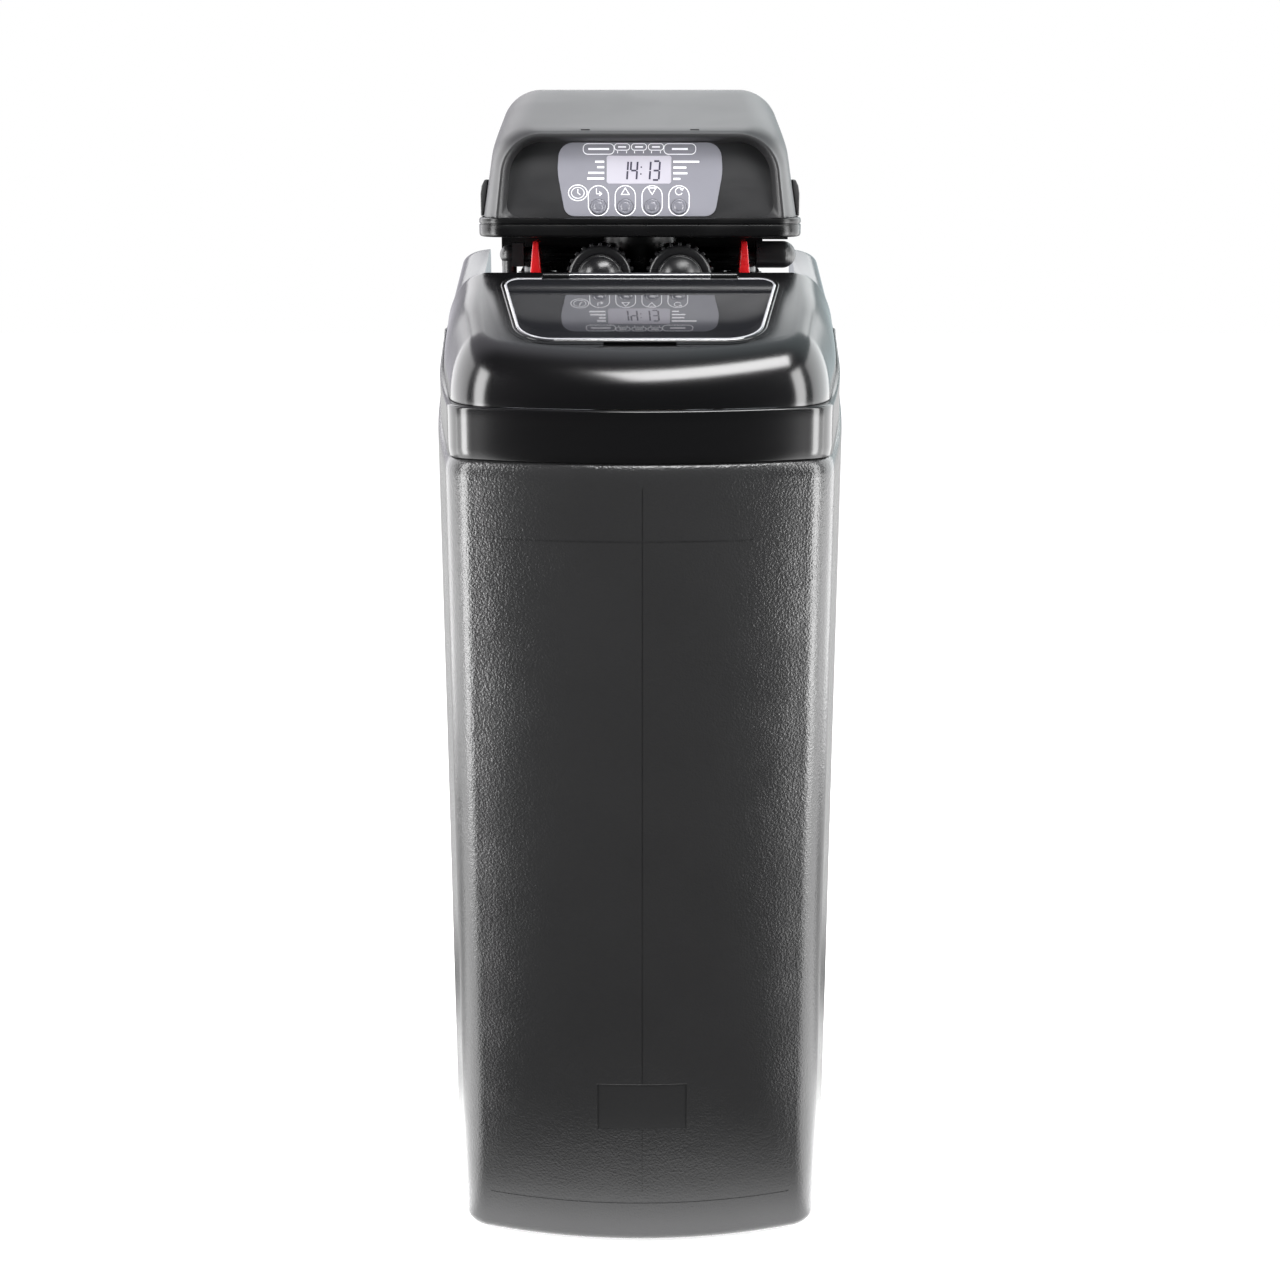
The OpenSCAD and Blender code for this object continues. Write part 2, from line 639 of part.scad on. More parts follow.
// Boot: a ring that holds the tank's round end off the floor.
module tank_boot() {
    shell_gap = seat_gap;
    grow = shell_gap + boot_t;
    edge_z = floor_t + seat_gap;
    top_z = edge_z + boot_h;
    function end_r(z, g) =
        (tank_r + g) * sqrt(1 - pow(min(1, max(0, (tank_side_z - z) / (dome_h + g))), 2));
    outer = [for (k = [0:10]) let (z = edge_z + boot_h * k / 10) [end_r(z, grow) , z]];
    inner = [for (k = [10:-1:0]) let (z = edge_z + boot_h * k / 10) [end_r(z, shell_gap), z]];
    color("#222224") on_tank_axis() rotate_extrude() polygon(concat(
        [for (p = outer) [max(p.x, 90), p.y]],
        [for (p = inner) [min(max(p.x, 70), tank_r + shell_gap), p.y]]));
}

module resin_bed() {
    gap = seat_gap;
    low = tank_side_z;
    top = low + resin_h - dome_h;
    inner_r = tank_r - tank_t - gap;
    inner_h = dome_h - tank_t - gap;
    color("#9a5f24") on_tank_axis() difference() {
        rotate_extrude() polygon(concat(
            [for (k = [0:12]) let (t = -90 + 90 * k / 12) [inner_r * cos(t), low + inner_h * sin(t)]],
            [[inner_r, top], [0, top]]));
        cylinder(r = riser_r + gap, h = top + 1);
        cylinder(r = strainer_r + gap, h = strainer_z + strainer_h + gap);
    }
}

strainer_z = tank_foot_z + tank_t + 1.4;
strainer_r = 26;
strainer_h = 60;
module riser_tube() {
    color("#d8d8d4") on_tank_axis() translate([0, 0, strainer_z + 20])
        tube(riser_r, riser_t, flange_z + 4 - strainer_z - 20);
}

// Strainers: slotted baskets on the riser's foot and under the valve.
module slots(r, z, h, count) {
    for (k = [0:count - 1]) rotate(360 * k / count) translate([0, -0.6, z]) cube([r + 5, 1.2, h]);
}

module lower_strainer() {
    color("#e4e2da") on_tank_axis() translate([0, 0, strainer_z]) difference() {
        cylinder(r = strainer_r, h = strainer_h);
        translate([0, 0, 20 - seat_gap]) cylinder(r = riser_r + run_gap, h = strainer_h);
        translate([0, 0, 3]) cylinder(r = strainer_r - 4, h = 17 - 2);
        slots(strainer_r, 5, 11, 12);
    }
}

module upper_strainer() {
    low = stub_z - 62;
    color("#e4e2da") on_tank_axis() difference() {
        union() {
            translate([0, 0, low]) cylinder(r = 26, h = 62 - seat_gap);
            translate([0, 0, stub_z - 8]) cylinder(r = 29, h = 8 - seat_gap);
        }
        translate([0, 0, low + 3]) cylinder(r = 22, h = 70);
        translate([0, 0, low - 1]) cylinder(r = riser_r + run_gap, h = 10);
        slots(26, low + 8, 40, 12);
    }
}

module neck_o_ring() {
    color("#0b0b0b") on_tank_axis() translate([0, 0, tank_top_z + 1.5])
        rotate_extrude() translate([40, 0]) circle(r = 1.45);
}

// Brine well: a slotted tube with a cap, the float valve inside it and the air check at its foot.
well_foot_z = floor_t + seat_gap;
module brine_well() {
    color("#2b2b2e") on_brine_axis() difference() {
        translate([0, 0, well_foot_z]) tube(brine_r, brine_t, brine_top_z - well_foot_z);
        for (row = [0:2]) slots(brine_r, well_foot_z + 14 + 34 * row, 24, 10);
    }
}

valve_x = -18;
float_x = 16;
cap_hole_r = line_r + 2;
module brine_well_cap() {
    color("#2f2f33") on_brine_axis() difference() {
        translate([0, 0, brine_top_z - 12]) cylinder(r = brine_r + 3.5, h = 12 + 4);
        translate([0, 0, brine_top_z - 13]) cylinder(r = brine_r + seat_gap, h = 13 + seat_gap);
        translate([valve_x, 0, brine_top_z - 5]) cylinder(r = cap_hole_r, h = 20);
    }
}

safety_z = brine_top_z - 76;
safety_h = 40;
module safety_valve() {
    arm = brine_r - brine_t - seat_gap;
    color("#c9c9c4") on_brine_axis() difference() {
        union() {
            translate([valve_x, 0, safety_z]) cylinder(r = 13, h = safety_h);
            translate([float_x, 0, safety_z + 12]) cylinder(r = 8, h = safety_h - 12);
            intersection() {
                translate([-arm - 10, -5, safety_z + 14]) cube([2 * arm + 20, 10, 12]);
                translate([0, 0, safety_z]) cylinder(r = arm, h = safety_h);
            }
        }
        translate([float_x, 0, safety_z - 1]) cylinder(r = float_rod_r + run_gap, h = safety_h + 2);
        translate([valve_x, 0, safety_z - 1]) cylinder(r = pickup_r + run_gap, h = 15);
        translate([valve_x, 0, safety_z]) cylinder(r = line_r - 1.5, h = safety_h + 1);
        translate([valve_x, 0, safety_z + safety_h - 12]) cylinder(r = line_r + run_gap, h = 14);
    }
}

cage_h = 52;
cage_r = 13;
module pickup_tube() {
    low = well_foot_z + cage_h - 10;
    color("#d9dad6") on_brine_axis() translate([valve_x, 0, low])
        tube(pickup_r, 1.6, safety_z + 13 - low);
}

module brine_float() {
    color("#e8e6e0") on_brine_axis() difference() {
        translate([float_x, 0, float_z]) cylinder(r = float_r, h = float_h);
        translate([float_x, 0, float_z - 1]) cylinder(r = float_rod_r + run_gap, h = float_h + 2);
    }
}

module float_rod() {
    color("#b8babb") on_brine_axis() {
        translate([float_x, 0, float_z - 20]) cylinder(r = float_rod_r, h = safety_z + 20 - float_z + 20);
        translate([float_x, 0, float_z - 4 - run_gap]) cylinder(r = 6, h = 4);
        translate([float_x, 0, float_z + float_h + run_gap]) cylinder(r = 6, h = 4);
    }
}

ball_seat_z = well_foot_z + seat_gap + 10;
module air_check_cage() {
    color("#d2d2ce") on_brine_axis() translate([valve_x, 0, 0]) difference() {
        translate([0, 0, well_foot_z]) cylinder(r = cage_r, h = cage_h);
        translate([0, 0, well_foot_z + cage_h - 10]) cylinder(r = pickup_r + run_gap, h = 12);
        translate([0, 0, ball_seat_z]) cylinder(r = ball_r + 1, h = cage_h - 24);
        translate([0, 0, ball_seat_z]) cylinder(r = 3, h = cage_h);
        slots(cage_r, ball_seat_z + 2, 12, 6);
    }
}

module air_check_ball() {
    color("#5a2f20") on_brine_axis() translate([valve_x, 0, ball_seat_z + ball_r + seat_gap / 2])
        sphere(r = ball_r);
}

// Brine line: up from the safety valve, level over the tank's dome, then up through the well to the elbow.
line_from = [brine_x + valve_x, brine_y];
line_to = [line_end_x, arm_y];
line_run = norm(line_to - line_from);
line_heading = atan2(line_to.y - line_from.y, line_to.x - line_from.x);
line_low_z = safety_z + safety_h - 12 + seat_gap;
line_top_z = arm_z - 22;
module line_bend_piece() {
    rotate([90, 0, 0]) rotate_extrude(angle = 90) translate([line_bend, 0]) difference() {
        circle(r = line_r);
        circle(r = line_r - 1.5);
    }
}

module brine_line() {
    color("#e6e3d6") translate([line_from.x, line_from.y, 0]) rotate(line_heading) {
        translate([0, 0, line_low_z]) tube(line_r, 1.5, line_z - line_bend - line_low_z);
        translate([line_bend, 0, line_z - line_bend]) mirror([1, 0, 0]) line_bend_piece();
        translate([line_bend, 0, line_z]) rotate([0, 90, 0]) tube(line_r, 1.5, line_run - 2 * line_bend);
        translate([line_run - line_bend, 0, line_z + line_bend]) mirror([0, 0, 1]) line_bend_piece();
        translate([line_run, 0, line_z + line_bend]) tube(line_r, 1.5, line_top_z - line_z - line_bend);
    }
}

// Valve body: barrel over the tank's neck, two front chambers, bypass arms, and the drain and brine arms.
module valve_body() {
    top_r = 38;
    web_z = chamber_z - 19;
    web_half = chamber_x - 6;
    arm_tip = bypass_x - housing_r - seat_gap;
    color("#1d1d20") difference() {
        union() {
            on_tank_axis() {
                translate([0, 0, stub_z]) cylinder(r = stub_r, h = flange_z - stub_z + 1);
                translate([0, 0, flange_z]) cylinder(r = 55, h = 14);
                translate([0, 0, flange_z]) cylinder(r = barrel_r, h = valve_top_z - flange_z);
                translate([0, 0, valve_top_z - 8]) cylinder(r = top_r, h = 8);
            }
            both_sides() along_y(chamber_x, chamber_front_y, chamber_z, chamber_r, chamber_len);
            translate([-web_half, tank_y - 24, web_z]) cube([2 * web_half, 45, 36]);
            both_sides() along_x(chamber_x + 20, bypass_y, bypass_z, 9, arm_tip - chamber_x - 20);
            both_sides() along_x(arm_tip - 6, bypass_y, bypass_z, 14.5, 6);
            both_sides() along_x(chamber_x + 2, arm_y, arm_z, 8, arm_end_x - chamber_x - 2);
        }
        on_tank_axis() {
            translate([0, 0, piston_z - 3]) cylinder(r = bore_r, h = valve_top_z - piston_z + 4);
            translate([0, 0, stub_z - 1]) cylinder(r = riser_r + run_gap, h = piston_z - stub_z);
            translate([0, 0, stub_z - 1]) cylinder(r = 22, h = 20);
            translate([0, 0, flange_z - 0.01]) difference() {
                cylinder(r = 42.5, h = 3);
                translate([0, 0, -1]) cylinder(r = 37.5, h = 5);
            }
        }
        both_sides() along_y(chamber_x, chamber_front_y - 1, chamber_z, chamber_bore_r, chamber_deep + 1);
        both_sides() along_x(chamber_x, bypass_y, bypass_z, 5.5, bypass_x);
        both_sides() along_x(chamber_x + 12, arm_y, arm_z, 4.5, arm_end_x);
    }
}

module seal_stack() {
    low = piston_z - 3 + seat_gap;
    high = valve_top_z - 10;
    rings = 5;
    step = (high - low) / rings;
    color("#2a2f3a") on_tank_axis() difference() {
        translate([0, 0, low]) cylinder(r = bore_r - run_gap, h = high - low);
        translate([0, 0, low - 1]) cylinder(r = piston_r + run_gap, h = high - low + 2);
        for (k = [0:rings - 1]) slots(bore_r, low + step * (k + 0.3), step * 0.4, 8);
    }
}

module piston() {
    color("#d6d3c8") on_tank_axis() translate([0, 0, piston_z]) difference() {
        cylinder(r = piston_r, h = piston_len);
        translate([0, 0, 12]) difference() {
            cylinder(r = piston_r + 1, h = 10);
            translate([0, 0, -1]) cylinder(r = piston_r - 3, h = 12);
        }
        translate([0, 0, piston_len - 15]) cylinder(r = rod_r + run_gap, h = 20);
    }
}

rod_low_z = piston_z + piston_len - 15 + seat_gap;
rod_top_z = plate_z + plate_t + 8;
module piston_rod() {
    color("#b4b6b8") on_tank_axis() translate([0, 0, rod_low_z])
        cylinder(r = rod_r, h = rod_top_z - rod_low_z);
}

module drive_cap() {
    color("#232326") on_tank_axis() difference() {
        union() {
            translate([0, 0, cap_disc_z]) cylinder(r = 30, h = cap_disc_h);
            translate([0, 0, valve_top_z - 10 + seat_gap]) cylinder(r = bore_r - run_gap, h = 12);
        }
        translate([0, 0, valve_top_z - 20]) cylinder(r = rod_r + run_gap, h = 60);
    }
}

// Gears: straight involute teeth, thinned for play.
function involute_deg(a) = tan(a) * 180 / PI - a;
function gear_points(teeth) =
    let (rp = gear_m * teeth / 2, rb = rp * cos(20), ra = rp + addendum * gear_m, rf = rp - dedendum * gear_m)
    let (half = 90 / teeth - tooth_play / 2 / rp * 180 / PI + involute_deg(20))
    let (tip = half - involute_deg(acos(rb / ra)))
    let (side = [[rf, half], [rb, half], [rp, half - involute_deg(20)], [ra, tip]])
    [for (k = [0:teeth - 1]) let (c = 360 * k / teeth) each concat(
        [for (s = side) s.x * [cos(c - s.y), sin(c - s.y)]],
        [for (i = [3:-1:0]) side[i].x * [cos(c + side[i].y), sin(c + side[i].y)]])];

module drive_gear() {
    color("#e9e6dc") on_tank_axis() translate([0, 0, gear_z]) difference() {
        linear_extrude(drive_face) polygon(gear_points(drive_teeth));
        translate([0, 0, -1]) cylinder(r = rod_r + run_gap, h = 20);
        for (k = [0:5]) rotate(60 * k + 30) translate([21, 0, -1]) cylinder(r = 6, h = 20);
    }
}

module reduction_gear() {
    color("#ded9c8") translate([stud_x, tank_y, 0]) difference() {
        union() {
            translate([0, 0, gear_z]) rotate(180 / pinion_teeth) linear_extrude(drive_face + seat_gap)
                polygon(gear_points(pinion_teeth));
            translate([0, 0, wheel_z]) linear_extrude(pinion_face) polygon(gear_points(reduction_teeth));
        }
        translate([0, 0, gear_z - 1]) cylinder(r = stud_r + run_gap, h = 60);
    }
}

shaft_r = 2;
shaft_in = 12;
module motor_pinion() {
    color("#c8a54a") translate([motor_x, tank_y, wheel_z]) {
        rotate(180 / pinion_teeth) linear_extrude(pinion_face) polygon(gear_points(pinion_teeth));
        cylinder(r = shaft_r, h = plate_z + plate_t + shaft_in - wheel_z);
    }
}

module drive_motor() {
    color("#8c8f93") translate([motor_x, tank_y, plate_z + plate_t]) difference() {
        union() {
            translate([0, 0, seat_gap]) cylinder(r = motor_r, h = motor_len);
            translate([0, 0, motor_len]) cylinder(r = 6, h = 5);
        }
        cylinder(r = shaft_r + run_gap, h = shaft_in + seat_gap);
    }
}

// Bracket: a plate on four posts, with the stud for the reduction gear.
bracket_posts = [[-50, 38], [-50, 106], [108, 38], [108, 106]];
module drive_bracket() {
    post_z = base_z + base_t + seat_gap;
    color("#4b4d51") difference() {
        union() {
            translate([-58, 30, plate_z]) cube([174, 84, plate_t]);
            for (p = bracket_posts) translate([p.x, p.y, post_z]) cylinder(r = 6, h = plate_z - post_z + 1);
            translate([stud_x, tank_y, gear_z]) cylinder(r = stud_r, h = plate_z - gear_z + 1);
        }
        translate([0, tank_y, plate_z - 1]) cylinder(r = rod_r + 2, h = 10);
        translate([motor_x, tank_y, plate_z - 1]) cylinder(r = shaft_r + 2, h = 10);
        for (p = bracket_posts) translate([p.x, p.y, plate_z - 14]) cylinder(r = 2 + run_gap, h = 30);
    }
}

module bracket_screws() {
    color("#a9abad") for (p = bracket_posts) translate([p.x, p.y, 0]) difference() {
        union() {
            translate([0, 0, plate_z - 12]) cylinder(r = 2, h = plate_t + 13);
            translate([0, 0, plate_z + plate_t + run_gap]) cylinder(r = 3.8, h = 2.6);
        }
        translate([-3, -0.5, plate_z + plate_t + 1.6]) cube([6, 1, 3]);
    }
}

// Toothed ring nuts and the domed caps they hold on the front chambers.
nut_lip = 1.5;
dome_rise = 13;
module cap_nuts() {
    place = [chamber_x, nut_front_y, chamber_z];
    color("#19191b") both_sides() translate(place) rotate([-90, 0, 0]) difference() {
        union() {
            cylinder(r = nut_r - 2.5, h = nut_len);
            for (k = [0:nut_teeth - 1]) rotate(360 * k / nut_teeth)
                translate([nut_r - 5, -2, 2]) cube([5, 4, nut_len - 4]);
        }
        translate([0, 0, -1]) cylinder(r = dome_r + seat_gap, h = 10);
        translate([0, 0, nut_lip]) cylinder(r = chamber_r + run_gap, h = nut_len);
    }
}

module end_caps() {
    front = nut_front_y + nut_lip + seat_gap - chamber_front_y;
    plug_r = chamber_bore_r - run_gap;
    dome = (dome_r * dome_r + dome_rise * dome_rise) / (2 * dome_rise);
    tip = front - dome_rise;
    arc = [for (k = [0:8]) let (t = asin(dome_r / dome) * k / 8) [dome * sin(t), tip + dome * (1 - cos(t))]];
    color("#202023") both_sides() translate([chamber_x, chamber_front_y, chamber_z]) rotate([-90, 0, 0])
        rotate_extrude() polygon(concat(arc, [
            [chamber_r - 1, front], [chamber_r - 1, -seat_gap], [plug_r, -seat_gap], [plug_r, 8], [0, 8]]));
}

// Water meter in the left chamber and the injector in the right one.
turbine_y = chamber_front_y + 30;
module meter_turbine() {
    vanes = 6;
    color("#d84b3a") translate([-chamber_x, turbine_y, chamber_z]) rotate([-90, 0, 0]) difference() {
        union() {
            cylinder(r = 6, h = 20);
            for (k = [0:vanes - 1]) rotate(360 * k / vanes) translate([5, -1, 0]) cube([12, 2, 20]);
        }
        translate([0, 0, -1]) cylinder(r = 1.5 + run_gap, h = 30);
    }
}

module turbine_spindle() {
    back = chamber_floor_y - seat_gap;
    color("#c3c5c7") {
        along_y(-chamber_x, chamber_front_y + 8.2, chamber_z, 1.5, back - chamber_front_y - 8.2);
        along_y(-chamber_x, back - 3, chamber_z, chamber_bore_r - run_gap, 3);
        along_y(-chamber_x, turbine_y + 20 + seat_gap, chamber_z, 4, 3);
    }
}

module injector() {
    front = chamber_front_y + 8.2;
    color("#7d6a3a") difference() {
        union() {
            along_y(chamber_x, front, chamber_z, chamber_bore_r - run_gap, 8);
            along_y(chamber_x, front + 7, chamber_z, 9, 48);
            along_y(chamber_x, front + 55, chamber_z, chamber_bore_r - run_gap, 8);
        }
        along_y(chamber_x, front - 1, chamber_z, 3, 80);
        along_x(chamber_x - 20, front + 30, chamber_z, 3, 40);
    }
}

// Bypass: two rotor housings, the pipes to the rear and the cross tube between them.
module bypass_body() {
    low = bypass_z - 18;
    color("#1b1b1d") difference() {
        union() {
            both_sides() {
                translate([bypass_x, bypass_y, low]) cylinder(r = housing_r, h = housing_top_z - low);
                along_y(bypass_x, bypass_y, bypass_z, 14, tail_front_y - bypass_y);
                along_y(bypass_x, tail_front_y - 8, bypass_z, 18, 8);
            }
            along_x(-bypass_x, 122, bypass_z, 11, 2 * bypass_x);
        }
        both_sides() {
            translate([bypass_x, bypass_y, low + 4]) cylinder(r = rotor_r + run_gap, h = 60);
            along_y(bypass_x, bypass_y, bypass_z, 9, tail_front_y);
            along_x(bypass_x - 40, bypass_y, bypass_z, 9, 40);
        }
        along_x(-bypass_x, 122, bypass_z, 7, 2 * bypass_x);
    }
}

module rotor(side) {
    low = bypass_z - 14 + seat_gap;
    color("#2c2c30") difference() {
        union() {
            translate([side * bypass_x, bypass_y, low]) cylinder(r = rotor_r, h = housing_top_z - low);
            translate([side * bypass_x - 3, bypass_y - 3, housing_top_z - 1]) cube([6, 6, 8]);
        }
        along_y(side * bypass_x, bypass_y - 20, bypass_z, 8, 40);
        along_x(side * bypass_x - 20, bypass_y, bypass_z, 8, 40);
    }
}

module handle(side) {
    foot_z = housing_top_z + seat_gap;
    blade = [[-handle_foot / 2, foot_z], [handle_foot / 2, foot_z],
        [handle_tip / 2, handle_top_z], [-handle_tip / 2, handle_top_z]];
    color("#c4161c") translate([side * bypass_x, bypass_y, 0]) difference() {
        union() {
            translate([0, handle_len / 2, 0]) rotate([90, 0, 0]) linear_extrude(handle_len) polygon(blade);
            translate([0, 0, foot_z]) cylinder(r = rotor_r - 1, h = 6);
        }
        translate([-3 - run_gap, -3 - run_gap, foot_z - 1]) cube([6 + 2 * run_gap, 6 + 2 * run_gap, 8]);
    }
}

module inlet_rotor() { rotor(1); }
module outlet_rotor() { rotor(-1); }
module inlet_handle() { handle(1); }
module outlet_handle() { handle(-1); }

nut_span = 26;
module union_nuts() {
    place = [bypass_x, tail_front_y - 12, bypass_z];
    color("#202022") both_sides() translate(place) rotate([-90, 0, 0]) difference() {
        union() {
            cylinder(r = union_r - 2, h = nut_span);
            for (k = [0:11]) rotate(30 * k) translate([union_r - 5, -2.5, 1]) cube([5, 5, nut_span - 2]);
        }
        translate([0, 0, -1]) cylinder(r = 14 + seat_gap, h = 10);
        translate([0, 0, 4 - seat_gap]) cylinder(r = 18 + run_gap, h = 15);
        translate([0, 0, 10]) cylinder(r = pipe_r + seat_gap, h = 30);
    }
}

module tailpieces() {
    front = tail_front_y + seat_gap;
    color("#d9d4c4") both_sides() difference() {
        union() {
            along_y(bypass_x, front, bypass_z, 18, 6);
            along_y(bypass_x, front, bypass_z, pipe_r - 0.4, nut_span - 10);
            along_y(bypass_x, tail_front_y + nut_span - 11, bypass_z, pipe_r, pipe_len);
        }
        along_y(bypass_x, front - 1, bypass_z, 11, 90);
    }
}

// Drain elbow on the right arm and brine elbow on the left arm.
module drain_elbow() {
    start = arm_end_x + seat_gap;
    turn_x = arm_end_x + 18;
    r = 14;
    straight = 28;
    end = [for (k = [0:8]) let (t = 90 * k / 8) [r * cos(t), straight + r * sin(t)]];
    color("#1a1a1c") difference() {
        union() {
            translate([start, arm_y, arm_z]) rotate([0, 90, 0]) rotate_extrude()
                polygon(concat([[0, 0], [r, 0]], end));
            along_y(turn_x, arm_y, arm_z, 9, 20);
            along_y(turn_x, arm_y, arm_z, drain_r, 52);
        }
        along_x(start - 1, arm_y, arm_z, 4.5, turn_x - start + 1);
        along_y(turn_x, arm_y, arm_z, 4.4, 60);
    }
}

module brine_elbow() {
    start = -arm_end_x - seat_gap;
    color("#1a1a1c") difference() {
        union() {
            translate([start - 12, arm_y - 12, arm_z - 12]) cube([12, 24, 24]);
            along_x(line_end_x, arm_y, arm_z, 8, start - line_end_x);
            translate([line_end_x, arm_y, arm_z]) sphere(r = 10);
            translate([line_end_x, arm_y, line_top_z - 8])
                cylinder(r = line_r + 3, h = arm_z - line_top_z + 8);
        }
        along_x(line_end_x, arm_y, arm_z, 3.2, 30);
        translate([line_end_x, arm_y, line_top_z - 9]) cylinder(r = line_r + run_gap, h = 9 + seat_gap);
        translate([line_end_x, arm_y, line_top_z - 9]) cylinder(r = 3.2, h = arm_z - line_top_z + 9);
    }
}

// Hood base: a tray with a thick rim, on the valve's top face.
base_back_y = base_front_y + base_d;
base_half = base_w / 2;
base_corners = [[-base_half, base_front_y], [base_half, base_front_y],
    [base_half, base_back_y], [-base_half, base_back_y]];
function base_outline(e) = rounded(inset(base_corners, e), [26 - e, 26 - e, 24 - e, 24 - e], [8, 8, 8, 8]);
inlet_x = -70;
module hood_base() {
    apron_z = bypass_z + 15.5;
    apron_from = -arm_end_x - 26;
    color("#141416") difference() {
        union() {
            translate([0, 0, base_z]) linear_extrude(base_h) polygon(base_outline(0));
            translate([apron_from, base_back_y - apron_back, apron_z])
                cube([arm_end_x - 8 - apron_from, base_t, base_z - apron_z + 1]);
        }
        translate([0, 0, base_z + base_t]) linear_extrude(base_h) polygon(base_outline(base_rim));
        on_tank_axis() translate([0, 0, base_z - 1]) cylinder(r = 34, h = 10);
        along_y(inlet_x, base_back_y - 20, base_z + 10, 4, 40);
    }
}

// Hood: sections from the brow to the rear, each with its width, top height and inset.
hood_front_y = base_front_y + 4;
hood_top_z = seat_z + hood_h;
brow_z = seat_z + brow_h;
hood_half = base_w / 2 - 3;
slope_end_y = base_front_y + 126;
hood_back_y = base_back_y - 1;
function hood_slope_z(y) =
    brow_z + (hood_top_z - 2 - brow_z) * (y - hood_front_y) / (slope_end_y - hood_front_y);
hood_sections = [
    [hood_front_y, hood_half - 16, brow_lean, brow_z - 2],
    [hood_front_y + 2, hood_half - 14, brow_lean, brow_z],
    [hood_front_y + 10, hood_half - 8, brow_lean + 1, hood_slope_z(hood_front_y + 10)],
    [hood_front_y + 22, hood_half - 3, brow_lean + 3, hood_slope_z(hood_front_y + 22)],
    [hood_front_y + 50, hood_half, brow_lean + 6, hood_slope_z(hood_front_y + 50)],
    [slope_end_y, hood_half, 21, hood_top_z - 2],
    [slope_end_y + 12, hood_half, 21, hood_top_z],
    [slope_end_y + 28, hood_half, 21, hood_top_z - 1],
    [hood_back_y - 14, hood_half - 3, 21, hood_top_z - 9],
    [hood_back_y - 4, hood_half - 10, 20, hood_top_z - 24],
    [hood_back_y, hood_half - 20, 18, hood_top_z - 42]
];
hood_corner_r = 42;
function section_points(half, lean, low, top, e, r) =
    rounded(inset([[-half, low - e], [half, low - e], [half - lean, top], [-half + lean, top]], e),
        [2, 2, r - e, r - e], [1, 1, 8, 8]);
function hood_ring(s, e, low) =
    [for (p = section_points(s[1], s[2], low, s[3], e, hood_corner_r)) [-p.x, s[0], p.y]];

// The face sits inside the brow: its outline follows the front section, in from the brow's edge.
function face_outline(e, low) =
    section_points(hood_half - 14, brow_lean, low, brow_h, brow_w + e, hood_corner_r);
module hood_shell() {
    skin = [for (s = hood_sections) hood_ring(s, 0, seat_z)];
    end = hood_sections[10];
    hollow = concat(
        [for (i = [2:9]) hood_ring(hood_sections[i], hood_t, seat_z - 20)],
        [hood_ring([end[0] - hood_t, end[1], end[2], end[3]], hood_t, seat_z - 20)]);
    color("#2c2c2e") difference() {
        loft(skin);
        loft(hollow);
        translate([0, 40, seat_z]) rotate([90, 0, 0]) linear_extrude(90) polygon(face_outline(0, -10));
        both_sides() translate([50, hood_front_y + 6, brow_z - 6]) cube([9, 3, 20]);
    }
}

module hood_clips() {
    clip_h = 36;
    lean = (brow_lean + 6) * clip_h / 100;
    color("#19191b") both_sides() translate([hood_half + seat_gap, base_front_y + 62, seat_z])
        rotate([90, 0, 0]) linear_extrude(16)
            polygon([[0, 0], [2.6, 0], [2.6, clip_h - 12],
                [2.6 - lean / 2, clip_h], [seat_gap - lean, clip_h]]);
}

// Face plate in the hood's brow, with the grey panel, the display, the buttons and the board behind it.
module face_plate() {
    standoff = board_back - face_t - seat_gap;
    foot_v = -(base_h - base_t) / cos(face_lean) + seat_gap;
    color("#29292b") on_face() difference() {
        union() {
            translate([0, 0, -face_t]) linear_extrude(face_t) polygon(face_outline(free_gap + 1.5, foot_v));
            for (x = [-66, 66], v = [20, 60]) translate([x, v, -face_t - standoff])
                cylinder(r = 4, h = standoff + 1);
        }
        translate([lcd_x - lcd_w / 2, lcd_v, -face_t - 1]) cube([lcd_w, lcd_h, face_t + 2]);
        for (x = button_x) translate([x, button_v, -face_t - 1])
            cylinder(r = button_r + seat_gap, h = face_t + 2);
    }
}

panel_top = brow_h - brow_w - 3;
panel_corners = [[-75, 1], [75, 1], [83, 45], [81, panel_top], [-81, panel_top], [-83, 45]];
module grey_panel() {
    color("#acacb4") on_face() difference() {
        translate([0, 0, 0.02]) linear_extrude(panel_t)
            polygon(rounded(panel_corners, [11, 11, 60, 15, 15, 60], [5, 5, 3, 6, 6, 3]));
        translate([lcd_x - lcd_w / 2, lcd_v, -1]) cube([lcd_w, lcd_h, 4]);
        for (x = button_x) translate([x, button_v, -1]) cylinder(r = button_r + seat_gap, h = 4);
    }
}

module display() {
    deep = board_back - seat_gap;
    color("#ece8f4") on_face() translate([lcd_x - lcd_w / 2 + seat_gap, lcd_v + seat_gap, -deep])
        cube([lcd_w - 2 * seat_gap, lcd_h - 2 * seat_gap, deep + 0.4]);
}

module circuit_board() {
    switch_h = board_back - face_t - 2 - 5 - button_travel - seat_gap;
    color("#1f5a34") on_face() {
        translate([-78, 5, -board_back - 1.6]) cube([156, 62, 1.6]);
        for (x = button_x) translate([x - 3, button_v - 3, -board_back - 0.01]) cube([6, 6, switch_h]);
        translate([-60, 44, -board_back - 8]) cube([14, 18, 7]);
        translate([30, 46, -board_back - 5]) cube([24, 14, 4]);
    }
}

